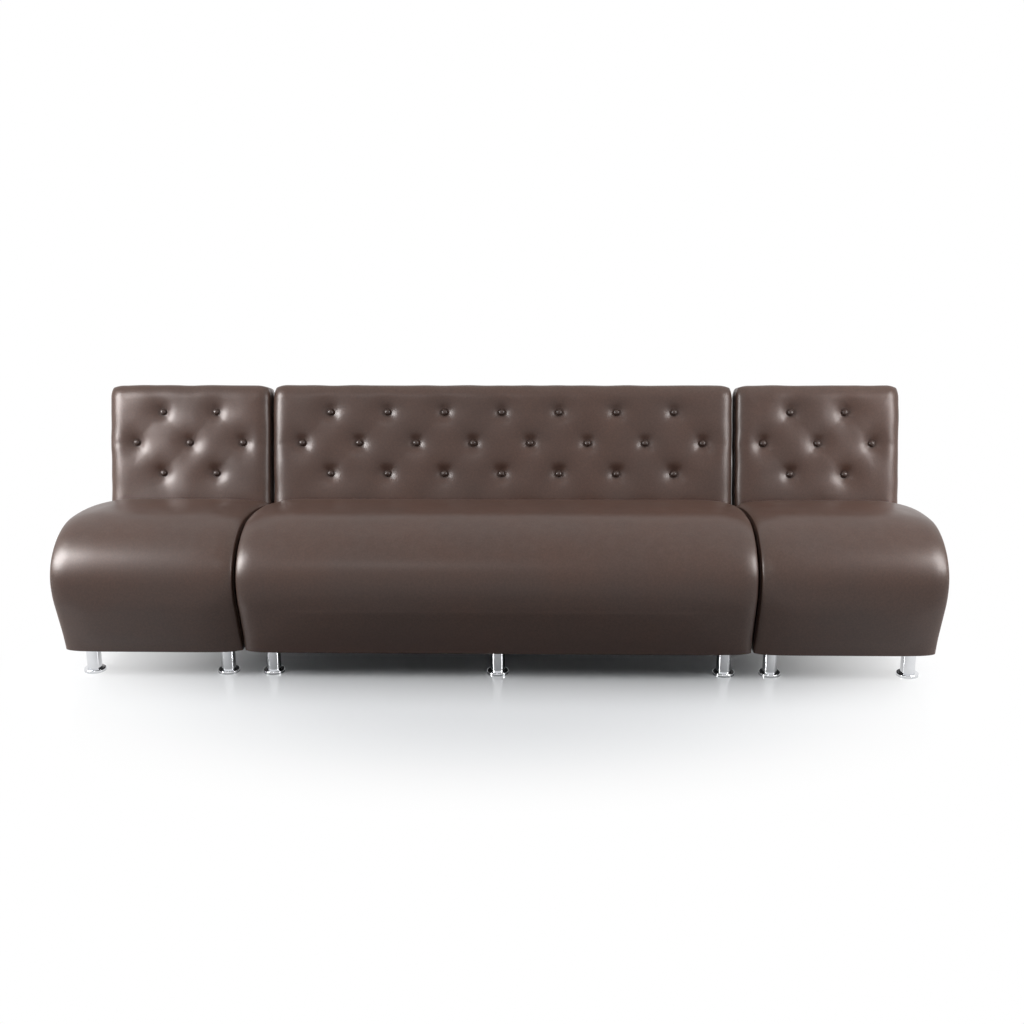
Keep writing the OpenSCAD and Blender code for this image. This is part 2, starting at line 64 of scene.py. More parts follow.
def photo_camera():
    ahead = Vector((-math.sin(CAMERA_YAW) * math.cos(CAMERA_PITCH),
                    math.cos(CAMERA_YAW) * math.cos(CAMERA_PITCH), -math.sin(CAMERA_PITCH)))
    right = Vector((math.cos(CAMERA_YAW), math.sin(CAMERA_YAW), 0))
    up = right.cross(ahead)
    turned_right = right * math.cos(CAMERA_ROLL) + up * math.sin(CAMERA_ROLL)
    turned_up = up * math.cos(CAMERA_ROLL) - right * math.sin(CAMERA_ROLL)
    lens = bpy.data.cameras.new("photo_camera")
    lens.sensor_width, lens.clip_end = SENSOR, VIEW_DEPTH
    lens.lens = FOCAL_PIXELS * SENSOR / PIXELS
    camera = bpy.data.objects.new("photo_camera", lens)
    axes = Matrix((turned_right, turned_up, -ahead)).transposed()
    camera.matrix_world = Matrix.Translation(CAMERA_PLACE) @ axes.to_4x4()
    scene.collection.objects.link(camera)
    return camera


bpy.context.scene.camera = photo_camera()
print("lens", round(scene.camera.data.lens, 2), "mm")

# %% [markdown]
# ## A short way to add nodes
# Materials and Geometry Nodes are both trees of nodes. One helper adds a node, gives it its
# settings, and fills its inputs with a value or with a link from another node's output. A few
# more wrap the nodes that come up again and again.


# %% Node helpers
def add(tree, kind, inputs=None, **settings):
    node = tree.nodes.new(kind)
    for name, value in settings.items():
        setattr(node, name, value)
    for key, value in (inputs or {}).items():
        if isinstance(value, bpy.types.NodeSocket):
            tree.links.new(value, node.inputs[key])
        else:
            node.inputs[key].default_value = value
    return node


def calc(tree, operation, *values):
    return add(tree, "ShaderNodeMath", dict(enumerate(values)), operation=operation).outputs[0]


def mix(tree, share, low, high):
    return add(tree, "ShaderNodeMix", {0: share, 6: low, 7: high}, data_type="RGBA").outputs[2]


def remap(tree, value, low, high, new_low=0.0, new_high=1.0):
    return add(tree, "ShaderNodeMapRange", {0: value, 1: low, 2: high, 3: new_low, 4: new_high},
               interpolation_type="SMOOTHSTEP").outputs[0]


def object_place(tree):
    return add(tree, "ShaderNodeTexCoord").outputs["Object"]


def clouds(tree, place, scale, detail, output="Fac", **more):
    inputs = {"Vector": place, "Scale": scale, "Detail": detail, **more}
    return add(tree, "ShaderNodeTexNoise", inputs).outputs[output]


def new_material(name):
    made = bpy.data.materials.new(name)
    made.use_nodes = True
    made.node_tree.nodes.clear()
    return made, made.node_tree


def close(tree, shader):
    add(tree, "ShaderNodeOutputMaterial", {"Surface": shader.outputs[0]})


# %% [markdown]
# ## Studio: floor, background and light
# The row stands on a pale, slightly glossy floor in front of white. Away from the row's middle the
# floor turns to white emission for camera and glossy rays, and this reaches under the end sections
# as painted light that lightens their shadow. The world is white only for camera, glossy and
# transmission rays, so chrome sees white too; other rays get a plain level.
# Leatherette shows each lamp as a sheen, so lighting and sheen are kept apart. Boxes at the
# sides, above, behind and near the floor light the row but aren't mirrored in it. Two sheen
# boxes are only mirrored. The small box in front does both, and gives each button its bright dot.

# %% World
AMBIENT, WHITE = 0.12, (1, 1, 1, 1)
scene.view_settings.view_transform = "Standard"
scene.world = bpy.data.worlds.new("white_studio")
scene.world.use_nodes = True
sky = scene.world.node_tree
sky.nodes.clear()
rays = add(sky, "ShaderNodeLightPath").outputs
seen = calc(sky, "MAXIMUM", rays["Is Camera Ray"],
            calc(sky, "MAXIMUM", rays["Is Glossy Ray"], rays["Is Transmission Ray"]))
level = add(sky, "ShaderNodeMapRange", {0: seen, 3: AMBIENT, 4: 1.0}).outputs[0]
backdrop = add(sky, "ShaderNodeBackground", {"Color": WHITE, "Strength": level})
add(sky, "ShaderNodeOutputWorld", {"Surface": backdrop.outputs[0]})
print("world: white where it is seen,", AMBIENT, "for other rays")

# %% Lamps
# Each row: name, place, aim, width and height, watts, seen in gloss, lights the rest. The lamps
# in PAIRED stand on both sides; their place and aim are for the right, the watts for left, right.
SINGLE = (
    ("front_softbox", (-0.8, -3.4, 3.2), (0.0, 0.0, 0.5), (0.6, 0.6), 8, True, True),
    ("top_softbox", (0.0, -0.3, 2.8), (0.0, -0.1, 0.4), (1.6, 1.4), 5, False, True),
    ("rear_softbox", (0.3, 3.3, 1.5), (0.0, 0.2, 0.5), (2.4, 1.0), 40, False, True))
PAIRED = (
    ("{}_softbox", (3.05, -1.35, 2.05), (1.1, -0.1, 0.5), (0.42, 1.4), (62, 38), False, True),
    ("{}_sheen", (2.36, -0.93, 1.38), (1.2, -0.25, 0.4), (0.72, 1.0), (78, 40), True, False),
    ("top_{}_softbox", (1.7, -0.3, 2.4), (1.1, -0.1, 0.4), (1.6, 1.6), (12, 24), False, True),
    ("low_{}_softbox", (2.05, -0.1, 0.12), (1.0, -0.1, 0.0), (0.6, 0.16), (8, 7), False, True))


def softbox(name, place, aim, size, power, in_gloss, in_diffuse):
    """An area light turned towards aim. It can be kept out of the gloss or out of the rest."""
    data = bpy.data.lights.new(name, "AREA")
    data.shape, data.energy = "RECTANGLE", power
    data.size, data.size_y = size
    lamp = bpy.data.objects.new(name, data)
    lamp.location = place
    lamp.rotation_euler = (Vector(aim) - Vector(place)).to_track_quat("-Z", "Y").to_euler()
    lamp.visible_glossy, lamp.visible_diffuse = in_gloss, in_diffuse
    scene.collection.objects.link(lamp)


for row in SINGLE:
    softbox(*row)
for name, place, aim, size, powers, *seen_in in PAIRED:
    for side, sign, power in zip(("left", "right"), (-1, 1), powers):
        softbox(name.format(side), (sign * place[0], *place[1:]), (sign * aim[0], *aim[1:]),
                size, power, *seen_in)


# %% Floor
def mesh_object(name, points, faces=(), edges=(), smooth=True):
    mesh = bpy.data.meshes.new(name)
    mesh.from_pydata([tuple(p) for p in points], edges, faces)
    mesh.update()
    mesh.polygons.foreach_set("use_smooth", [smooth] * len(mesh.polygons))
    made = bpy.data.objects.new(name, mesh)
    scene.collection.objects.link(made)
    return made


FLOOR_HALF, FLOOR_ROUGHNESS = 9.0, 0.16
POOL_MIDDLE, POOL_SCALE, POOL_EDGE = (0.0, 0.15, 0.0), (0.62, 1.0, 1.0), (0.40, 1.0)
FLOOR_LIT, FLOOR_SEEN = (0.30, 0.31, 0.32, 1), (0.93, 0.95, 0.97, 1)
corners = [(x * FLOOR_HALF, y * FLOOR_HALF, 0) for x, y in ((-1, -1), (1, -1), (1, 1), (-1, 1))]
floor = mesh_object("studio_floor", corners, [(0, 1, 2, 3)], smooth=False)
floor_finish, tree = new_material("floor_paint")
middle = add(tree, "ShaderNodeMapping", {"Vector": object_place(tree), "Scale": POOL_SCALE,
                                         "Location": POOL_MIDDLE}).outputs[0]
distance = add(tree, "ShaderNodeVectorMath", {0: middle}, operation="LENGTH").outputs["Value"]
# White emission takes the floor's place away from the middle. Squeezed across, it reaches under
# the end sections as painted light that lightens their shadow.
backdrop_and_painted_light = remap(tree, distance, *POOL_EDGE)
rays = add(tree, "ShaderNodeLightPath").outputs
paint_colour = mix(tree, rays["Is Camera Ray"], FLOOR_LIT, FLOOR_SEEN)
paint = add(tree, "ShaderNodeBsdfPrincipled",
            {"Base Color": paint_colour, "Roughness": FLOOR_ROUGHNESS})
white = add(tree, "ShaderNodeEmission", {"Color": WHITE, "Strength": 1.0})
seen = calc(tree, "MAXIMUM", rays["Is Camera Ray"], rays["Is Glossy Ray"])
close(tree, add(tree, "ShaderNodeMixShader", {0: calc(tree, "MULTIPLY", backdrop_and_painted_light, seen),
                                              1: paint.outputs[0], 2: white.outputs[0]}))
floor.data.materials.append(floor_finish)
print("floor", 2 * FLOOR_HALF, "m wide")

# %% [markdown]
# ## Effects that several finishes share
# A node group is made once and placed in each material with its own values. These groups give
# only masks, values and colours: a pebbled grain, a slow change of tone, and settled dust.

# %% Grain group
FLOAT, COLOR = "NodeSocketFloat", "NodeSocketColor"


def group(name, sockets_in, sockets_out, kind="ShaderNodeTree"):
    """A new group, with the outputs of its input node and the inputs of its output node."""
    tree = bpy.data.node_groups.new(name, kind)
    for label, socket, value in sockets_in:
        made = tree.interface.new_socket(label, in_out="INPUT", socket_type=socket)
        if value is not None:
            made.default_value = value
    for label, socket in sockets_out:
        tree.interface.new_socket(label, in_out="OUTPUT", socket_type=socket)
    return tree, tree.nodes.new("NodeGroupInput").outputs, tree.nodes.new("NodeGroupOutput").inputs


GRAIN, given, result = group(
    "pebbled_grain",
    [("Size", FLOAT, 0.0012), ("Softness", FLOAT, 0.35), ("Wander", FLOAT, 0.4)],
    [("Height", FLOAT), ("Pores", FLOAT)])
place = object_place(GRAIN)
per_metre = calc(GRAIN, "DIVIDE", 1.0, given["Size"])
drift = clouds(GRAIN, place, calc(GRAIN, "MULTIPLY", per_metre, 0.5), 2.0, output="Color")
nudge = add(GRAIN, "ShaderNodeVectorMath", {0: drift, 1: (0.5, 0.5, 0.5)}, operation="SUBTRACT")
shifted = add(GRAIN, "ShaderNodeVectorMath", operation="SCALE", inputs={
    0: nudge.outputs[0], 3: calc(GRAIN, "MULTIPLY", given["Size"], given["Wander"])})
moved = add(GRAIN, "ShaderNodeVectorMath", {0: place, 1: shifted.outputs[0]}, operation="ADD")
pebbles = add(GRAIN, "ShaderNodeTexVoronoi", {"Vector": moved.outputs[0], "Scale": per_metre},
              feature="DISTANCE_TO_EDGE").outputs["Distance"]
pebble = remap(GRAIN, pebbles, 0.0, given["Softness"])
GRAIN.links.new(pebble, result["Height"])
GRAIN.links.new(calc(GRAIN, "SUBTRACT", 1.0, pebble), result["Pores"])
print("group", GRAIN.name)

# %% Tone group
TONE, given, result = group(
    "slow_tone", [("Colour", COLOR, (0.5, 0.5, 0.5, 1)), ("Other", COLOR, (0.4, 0.4, 0.4, 1)),
                  ("Size", FLOAT, 0.2), ("Amount", FLOAT, 0.5)],
    [("Colour", COLOR), ("Cloud", FLOAT)])
cloud = clouds(TONE, object_place(TONE), calc(TONE, "DIVIDE", 1.0, given["Size"]), 4.0,
               Roughness=0.55)
soft = remap(TONE, cloud, 0.3, 0.7)
share = calc(TONE, "MULTIPLY", soft, given["Amount"])
TONE.links.new(mix(TONE, share, given["Colour"], given["Other"]), result["Colour"])
TONE.links.new(soft, result["Cloud"])
print("group", TONE.name)

# %% Dust group
DUST, given, result = group(
    "settled_dust", [("Amount", FLOAT, 0.1), ("Size", FLOAT, 0.03)], [("Mask", FLOAT)])
surface = add(DUST, "ShaderNodeTexCoord").outputs
upward = add(DUST, "ShaderNodeSeparateXYZ", {0: surface["Normal"]}).outputs["Z"]
lying = remap(DUST, upward, 0.2, 0.95)
specks = clouds(DUST, surface["Object"], calc(DUST, "DIVIDE", 1.0, given["Size"]), 5.0)
mask = calc(DUST, "MULTIPLY", lying, remap(DUST, specks, 0.35, 0.75))
DUST.links.new(calc(DUST, "MULTIPLY", mask, given["Amount"]), result["Mask"])
print("group", DUST.name)

# %% [markdown]
# ## Leatherette
# The covers are brown coated fabric with a fine pebbled grain and a satin coat. The colour is a
# dark brown that drifts slowly and has a fine speckle. Painted shade darkens it in the pressed
# seams, where seat meets back and round the buttons (an attribute written by the mesh code), and
# it is a little paler and smoother where it is rubbed over edges (attribute `rub`). Three bumps
# lie
# on each other: soft creases, the speckle and the grain.


# %% Leatherette material
CREASE_SIZE, SPECKLE_SIZE = 0.045, 0.006
# The first brown is painted shade, laid into the pressed seams, where seat meets back and round
# the buttons.
PAINTED_SHADE_BROWN, PORE_BROWN = (0.012, 0.008, 0.007, 1), (0.02, 0.012, 0.009, 1)
SPECKLE_BROWN, LEATHER_DUST = (0.034, 0.020, 0.016, 1), (0.30, 0.27, 0.24, 1)


def use(tree, effect, **values):
    """Places a shared group in a material with its own values, and returns its outputs."""
    node = add(tree, "ShaderNodeGroup", node_tree=effect)
    for label, value in values.items():
        node.inputs[label].default_value = value
    return node.outputs


def tinted(tree, colour, mask, amount, tint):
    """The colour, moved towards the tint by the amount where the mask is 1."""
    return mix(tree, calc(tree, "MULTIPLY", mask, amount), colour, tint)


def bumped(tree, height, strength, distance, **more):
    return add(tree, "ShaderNodeBump", {"Strength": strength, "Distance": distance,
                                        "Height": height, **more}).outputs[0]


def leatherette(name, brown, grey_brown, rubbed, grain_size, roughness):
    made, tree = new_material(name)
    tone = use(tree, TONE, Colour=brown, Other=grey_brown, Size=0.22, Amount=0.8)
    speckle = use(tree, TONE, Size=SPECKLE_SIZE)["Cloud"]
    grain = use(tree, GRAIN, Size=grain_size)
    dust = use(tree, DUST, Amount=0.03)
    rub, fold = (add(tree, "ShaderNodeAttribute", attribute_name=mark).outputs["Fac"]
                 for mark in ("rub", "fold"))
    colour = tinted(tree, tone["Colour"], rub, 0.55, rubbed)
    # Painted shade: darker in the pressed seams, where seat meets back and in the pits round the
    # buttons.
    colour = tinted(tree, colour, fold, 0.6, PAINTED_SHADE_BROWN)
    colour = tinted(tree, colour, grain["Pores"], 0.35, PORE_BROWN)
    colour = tinted(tree, colour, speckle, 0.30, SPECKLE_BROWN)
    colour = mix(tree, dust["Mask"], colour, LEATHER_DUST)
    rough = calc(tree, "ADD", calc(tree, "MULTIPLY", tone["Cloud"], 0.06), roughness)
    rough = calc(tree, "SUBTRACT", rough, calc(tree, "MULTIPLY", rub, 0.05))
    creases = clouds(tree, object_place(tree), 1 / CREASE_SIZE, 3.0, Roughness=0.6, Distortion=0.4)
    bump = bumped(tree, creases, 0.6, 0.0012)
    bump = bumped(tree, speckle, 0.4, 0.00025, Normal=bump)
    bump = bumped(tree, grain["Height"], 0.35, 0.0002, Normal=bump)
    close(tree, add(tree, "ShaderNodeBsdfPrincipled", {
        "Base Color": colour, "Roughness": rough, "Normal": bump, "Specular IOR Level": 0.03,
        "Coat Weight": 0.8, "Coat Roughness": 0.36, "Coat IOR": 1.5}))
    return made


leather = leatherette(
    "brown_leatherette", (0.104, 0.053, 0.038, 1), (0.089, 0.051, 0.040, 1),
    (0.125, 0.078, 0.060, 1), 0.0014, 0.45)
button_leather = leatherette(
    "button_leatherette", (0.060, 0.032, 0.024, 1), (0.050, 0.030, 0.024, 1),
    (0.080, 0.052, 0.042, 1), 0.0010, 0.26)
print("leatherette", leather.name, button_leather.name)

# %% [markdown]
# ## Chrome, zinc, plywood, foam and cloths
# Chrome is a metal with a pale, slightly blue tint and almost no roughness; fine handling marks
# change its roughness a little. The other finishes are inside the row or below it.


# %% Metal materials
def metal(name, tint, roughness, marks, marks_size):
    made, tree = new_material(name)
    streaks = clouds(tree, object_place(tree), 1 / marks_size, 6.0)
    tone = use(tree, TONE, Colour=(*tint, 1), Size=marks_size * 4,
               Other=(*(0.9 * c for c in tint), 1))
    rough = calc(tree, "ADD", remap(tree, streaks, 0.3, 0.8, roughness, roughness + marks),
                 use(tree, DUST, Amount=0.06)["Mask"])
    close(tree, add(tree, "ShaderNodeBsdfPrincipled", {
        "Base Color": tone["Colour"], "Metallic": 1.0, "Roughness": rough}))
    return made


leg_chrome = metal("leg_chrome", (0.80, 0.81, 0.83), 0.06, 0.05, 0.012)
foot_chrome = metal("foot_chrome", (0.78, 0.79, 0.81), 0.08, 0.08, 0.008)
zinc = metal("zinc_plate", (0.62, 0.63, 0.62), 0.30, 0.20, 0.006)
print("metals", [made.name for made in (leg_chrome, foot_chrome, zinc)])


# %% Wood, foam and cloth materials
GOODS_DUST = (0.4, 0.38, 0.35, 1)


def plain_goods(name, rgb, other, size, roughness, bump_size, bump_depth, stretch=(1, 1, 1)):
    made, tree = new_material(name)
    tone = use(tree, TONE, Colour=(*rgb, 1), Other=(*other, 1), Size=size)
    drawn = add(tree, "ShaderNodeMapping", {"Vector": object_place(tree), "Scale": stretch})
    fine = clouds(tree, drawn.outputs[0], 1 / bump_size, 6.0, Roughness=0.65)
    colour = mix(tree, remap(tree, fine, 0.4, 0.8, 0.0, 0.5), tone["Colour"], (*other, 1))
    colour = mix(tree, use(tree, DUST)["Mask"], colour, GOODS_DUST)
    close(tree, add(tree, "ShaderNodeBsdfPrincipled", {
        "Base Color": colour, "Normal": bumped(tree, fine, 0.5, bump_depth),
        "Roughness": remap(tree, fine, 0.2, 0.8, roughness - 0.08, roughness + 0.06)}))
    return made


plywood = plain_goods("birch_plywood", (0.58, 0.42, 0.25), (0.44, 0.29, 0.15),
                      0.08, 0.62, 0.004, 0.0003, (1, 12, 1))
fibreboard = plain_goods("fibreboard", (0.30, 0.21, 0.13), (0.22, 0.15, 0.09),
                         0.05, 0.75, 0.001, 0.0002)
foam_finish = plain_goods("cut_foam", (0.72, 0.63, 0.36), (0.62, 0.52, 0.27),
                          0.06, 0.9, 0.0012, 0.0006)
webbing_finish = plain_goods("elastic_webbing", (0.06, 0.06, 0.07), (0.16, 0.15, 0.14),
                             0.02, 0.8, 0.0010, 0.0004, (1, 0.25, 1))
lining = plain_goods("base_lining", (0.018, 0.018, 0.02), (0.035, 0.035, 0.038),
                     0.05, 0.85, 0.0008, 0.0003)
thread = plain_goods("brown_thread", (0.055, 0.034, 0.026), (0.035, 0.022, 0.018),
                     0.01, 0.6, 0.0004, 0.0002)
print("materials", len(bpy.data.materials))

# %% [markdown]
# ## Finishes for the solids that stay
# Frames, boards, legs, feet and bolts keep their CAD mesh. They only change material, which a
# word in each node's name chooses.

# %% Carried-over solids
SOLID_FINISHES = {"_leg_": leg_chrome, "_foot_": foot_chrome, "_frame": plywood,
                  "_board": fibreboard, "back_bolts": zinc}


def finished_in(obj, material):
    obj.data.materials.clear()
    obj.data.materials.append(material)
    return obj


for name, node in nodes.items():
    for word, material in SOLID_FINISHES.items():
        if word in name:
            finished_in(node, material)
print("finished solids", sum(word in name for name in nodes for word in SOLID_FINISHES))

# %% [markdown]
# ## The row's sizes
# scene.py can't read the part's source, so the sizes that shape the covers are repeated here, in
# metres. Each section is drawn around its own middle, with y measured from the line where seat
# and back meet, and is then moved to its place in the row. The back is drawn upright, with y
# measured from its front and z from its foot, and is tipped by the recline at the end.

# %% Sizes
SECTION_GAP, SOFT_GAP, HAIR = 0.0006, 0.0003, 0.0002
SEAT_BOTTOM, JUNCTION_H, DECK_H = 0.092, 0.451, 0.340
CREST_RISE, CREST_REACH = 0.048, 0.344
ROLL_D, ROLL_H = 0.228, 0.171
UNDER_R, UNDER_LEAN = 0.217, math.radians(20.5)
EDGE_BOW, EDGE_DRAW, SIDE_CROWN = 0.058, 0.022, 0.003
RECLINE = math.radians(13.2)
BACK_H, BACK_T, BACK_INSET, BACK_ROUND, BACK_WALL = 0.390, 0.115, 0.005, 0.030, 0.005
BACK_FOAM_T, BACK_PANEL_T, BACK_SKIN = 0.040, 0.010, 0.0043
BUTTON_D, BUTTON_H, TUFT_DEPTH = 0.022, 0.008, 0.014
BUTTON_LOW, ROW_PITCH = 0.089, 0.104
SEAT_WADDING, BACK_WADDING = 0.012, 0.018

SEAT_CREST = JUNCTION_H + CREST_RISE
BULGE_H = SEAT_CREST - ROLL_H
FRONT_REACH = CREST_REACH + ROLL_D
COS, SIN, TAN = math.cos(RECLINE), math.sin(RECLINE), math.tan(RECLINE)


def plane_y(z):
    """Where the front plane of the backs is at height z."""
    return (z - JUNCTION_H) * TAN


def face_y(y, z):
    return y * COS + z * SIN


def foot_z(y):
    """The height of a back's foot, in the back's own upright measure, at depth y."""
    return (DECK_H - JUNCTION_H + y * SIN) / COS


BOX_BACK = face_y(BACK_T, foot_z(BACK_T))
BOX_IN = BOX_BACK - 0.004
JUNCTION_Y = (FRONT_REACH - face_y(BACK_T, BACK_H - BACK_WALL)) / 2
SECTIONS = {
    "left": dict(x=-1.064, w=0.560, seats=1, buttons=3, margin=0.098),
    "centre": dict(x=0.0, w=1.568, seats=3, buttons=8, margin=0.105),
    "right": dict(x=1.064, w=0.560, seats=1, buttons=3, margin=0.098),
}
print("junction line at y", round(JUNCTION_Y, 5), "box back", round(BOX_BACK, 4))


# %% [markdown]
# ## The side view of a seat
# A seat's skin runs up from the back in a flat arc, over a large rolled front, and under it in a
# smaller arc that ends in a straight lean. `seat_outline(d)` gives that closed outline drawn in
# by d. Each call has the same number of points, so outlines join up as rings.

# %% Seat outline
CREST_STEPS, ROLL_STEPS, UNDER_STEPS = 30, 32, 8
BEYOND = 0.005


def seat_skin():
    """Points along the skin, each as (y, z) with its outward way (ny, nz)."""
    top_r = (CREST_REACH ** 2 + CREST_RISE ** 2) / (2 * CREST_RISE)
    top_angle = math.asin(CREST_REACH / top_r)
    rows = []
    for i in range(1, CREST_STEPS + 1):
        a = top_angle * (1 - i / CREST_STEPS)
        rows.append((top_r * math.sin(a) - CREST_REACH, SEAT_CREST - top_r * (1 - math.cos(a)),
                     math.sin(a), math.cos(a)))
    for i in range(1, ROLL_STEPS + 1):
        t = math.pi / 2 * i / ROLL_STEPS
        ny, nz = math.sin(t) / ROLL_D, math.cos(t) / ROLL_H
        m = math.hypot(ny, nz)
        rows.append((-CREST_REACH - ROLL_D * math.sin(t), BULGE_H + ROLL_H * math.cos(t),
                     -ny / m, nz / m))
    for i in range(1, UNDER_STEPS + 1):
        s = UNDER_LEAN * i / UNDER_STEPS
        rows.append((UNDER_R * (1 - math.cos(s)) - FRONT_REACH, BULGE_H - UNDER_R * math.sin(s),
                     -math.cos(s), -math.sin(s)))
    return np.array(rows)


SKIN = seat_skin()


def skin_at(d):
    return SKIN[:, :2] - d * SKIN[:, 2:]


def toe_y(z, d):
    """Where the lean under the front is at height z, drawn in by d."""
    return SKIN[-1, 0] + (SKIN[-1, 1] - z) * math.tan(UNDER_LEAN) + d / math.cos(UNDER_LEAN)


def lined_skin(d):
    """The skin drawn in by d, from a heel in front of the back's own skin."""
    return np.vstack(((plane_y(JUNCTION_H - d) - BACK_SKIN, JUNCTION_H - d), skin_at(d)))


def seat_inside(d):
    """Outline in side view of the space inside a seat cover, open below and under the back."""
    low, high = SEAT_BOTTOM - BEYOND, DECK_H + BEYOND
    return np.vstack((lined_skin(d), (toe_y(low, d), low), (BOX_IN, low), (BOX_IN, high),
                      (plane_y(high) - BACK_SKIN, high)))


def seat_outline(d):
    """The closed outline, with a close pair of points beside every corner, to keep it crisp."""
    skin = skin_at(d)
    corners = [(toe_y(SEAT_BOTTOM, d), SEAT_BOTTOM), (BOX_BACK, SEAT_BOTTOM), (BOX_BACK, DECK_H),
               (plane_y(DECK_H) - SOFT_GAP, DECK_H),
               (plane_y(JUNCTION_H - d) - SOFT_GAP, JUNCTION_H - d)]
    points, start = [tuple(p) for p in skin[:-1]], skin[-1]
    for end, count, close_by in zip(np.array(corners), (15, 44, 22, 10, 10),
                                    (0.02, 0.006, 0.014, 0.03, 0.03)):
        shares = [0.0, close_by] + [i / count for i in range(1, count)] + [1 - close_by]
        points += [tuple(start + (end - start) * s) for s in shares]
        start = end
    return np.array(points + [tuple(start)])


print("outline points", len(seat_outline(0)))

# %% [markdown]
# ## The form of a seat
# Rings of that outline stand side by side across the seat. Near each end they are drawn in along
# an ellipse, which gives the soft rounded side that the photograph shows, and then shrink towards
# the middle of the side panel, which stands a little proud as stuffed panels do.


# %% Seat rings
SIDE_MID = np.array((-FRONT_REACH / 2, (SEAT_BOTTOM + SEAT_CREST) / 2))
SEAM_SHARES = (0.012, 0.022, 0.032)
PANEL_SHARES = SEAM_SHARES + (0.08, 0.2, 0.35, 0.5, 0.65, 0.8, 0.9, 0.97)
SHOULDER, SHOULDER_RATE, BOW_STEPS = 0.080, 0.35, 11


def side_draw(w, x):
    """How far a seat's outline is drawn in at x: a faint shoulder, then the rounded side."""
    along = x - (w / 2 - SIDE_CROWN - EDGE_BOW)
    shoulder = SHOULDER_RATE * max(0.0, SHOULDER + along) ** 2
    turned = EDGE_DRAW - SHOULDER_RATE * (SHOULDER + EDGE_BOW) ** 2
    share = min(1.0, max(0.0, along / EDGE_BOW))
    return shoulder + turned * (1 - math.sqrt(1 - share * share))


def seat_stations(w, step):
    """Stations across a seat, as (x, draw, share of the way to the side panel's middle)."""
    flat = w / 2 - SIDE_CROWN - EDGE_BOW
    count = max(2, round(flat / step))
    across = [flat * i / count for i in range(count)]
    across += [flat + EDGE_BOW * math.sin(math.pi / 2 * i / BOW_STEPS)
               for i in range(BOW_STEPS + 1)]
    half = [(x, side_draw(w, x), 0.0) for x in across]
    half += [(w / 2 - SIDE_CROWN * (1 - s) ** 2, EDGE_DRAW, s) for s in PANEL_SHARES]
    return [(-x, d, s) for x, d, s in reversed(half[1:])] + half


def standing(x, outline):
    """A side view outline as a ring of points at x."""
    return np.column_stack((np.full(len(outline), x), outline))


def seat_ring(x, d, share):
    outline = seat_outline(d)
    return standing(x, outline + share * (SIDE_MID - outline))


print("rings across the left seat", len(seat_stations(SECTIONS["left"]["w"], 0.010)))


# %% Mesh helpers
def outward(obj):
    """Turns the faces of a closed mesh outwards."""
    work = bmesh.new()
    work.from_mesh(obj.data)
    bmesh.ops.recalc_face_normals(work, faces=work.faces)
    if work.calc_volume(signed=True) < 0:
        bmesh.ops.reverse_faces(work, faces=work.faces)
    work.to_mesh(obj.data)
    work.free()
    return obj


def band_faces(rows, size):
    """Faces of a band through rows of `size` points each, closed round each row."""
    return [(j * size + i, j * size + (i + 1) % size, (j + 1) * size + (i + 1) % size,
             (j + 1) * size + i) for j in range(rows - 1) for i in range(size)]


def prism(name, loops):
    """A closed form through flat loops, its two ends closed by one face each."""
    n, m = len(loops[0]), len(loops)
    ends = [tuple(range(n)), tuple(range((m - 1) * n, m * n))]
    return mesh_object(name, np.vstack(loops), band_faces(m, n) + ends, smooth=False)


def lofted(name, rings):
    """A closed form through rings, each of its two end rings closed by a ladder of faces."""
    rings = np.array(rings)
    count, size = rings.shape[:2]
    faces = band_faces(count, size)
    for base in (0, (count - 1) * size):
        low, high = base, base + size - 1
        while high - low > 2:
            faces.append((low, low + 1, high - 1, high))
            low, high = low + 1, high - 1
        if high - low == 2:
            faces.append((low, low + 1, high))
    return outward(mesh_object(name, rings.reshape(-1, 3), faces))


def read_vectors(mesh, what):
    flat = np.empty(len(mesh.vertices) * 3, np.float32)
    mesh.vertices.foreach_get(what, flat)
    return flat.reshape(-1, 3).astype(float)


def coords(mesh):
    return read_vectors(mesh, "co")


def normals(mesh):
    return read_vectors(mesh, "normal")


def set_coords(mesh, points):
    mesh.vertices.foreach_set("co", np.asarray(points, np.float32).ravel())
    mesh.update()


def write_attribute(mesh, name, values):
    """Writes one number a point; points past the given ones get zero."""
    full = np.zeros(len(mesh.vertices), np.float32)
    full[:len(values)] = values
    mesh.attributes.new(name, "FLOAT", "POINT").data.foreach_set("value", full)


def settled(obj):
    """Replaces an object's mesh by what its modifiers make of it, and drops them."""
    bpy.context.view_layer.update()
    graph = bpy.context.evaluated_depsgraph_get()
    plain = bpy.data.meshes.new_from_object(
        obj.evaluated_get(graph), preserve_all_data_layers=True, depsgraph=graph)
    obj.modifiers.clear()
    old, obj.data = obj.data, plain
    plain.name = obj.name
    bpy.data.meshes.remove(old)
    return obj


# %% Place in the row
def row_place(side, lift=0.0):
    return np.array((SECTIONS[side]["x"], JUNCTION_Y, lift))


def on_row(piece, slot, *replaced):
    """A finished piece rides with the row and hides the nodes it replaces. The slot is not used.
    """
    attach(piece, "root")
    if replaced:
        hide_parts(*replaced)
    print(piece.name, len(piece.data.polygons), "faces")


# %% [markdown]
# ## Hollow covers
# A real cover is a skin with wadding, open where it is stapled to the frame. Its outer form is
# made first, closed, and then the space for the foam and the frame is cut out of it. Boolean's
# Manifold solver is quick and leaves a closed skin, because both forms are closed.


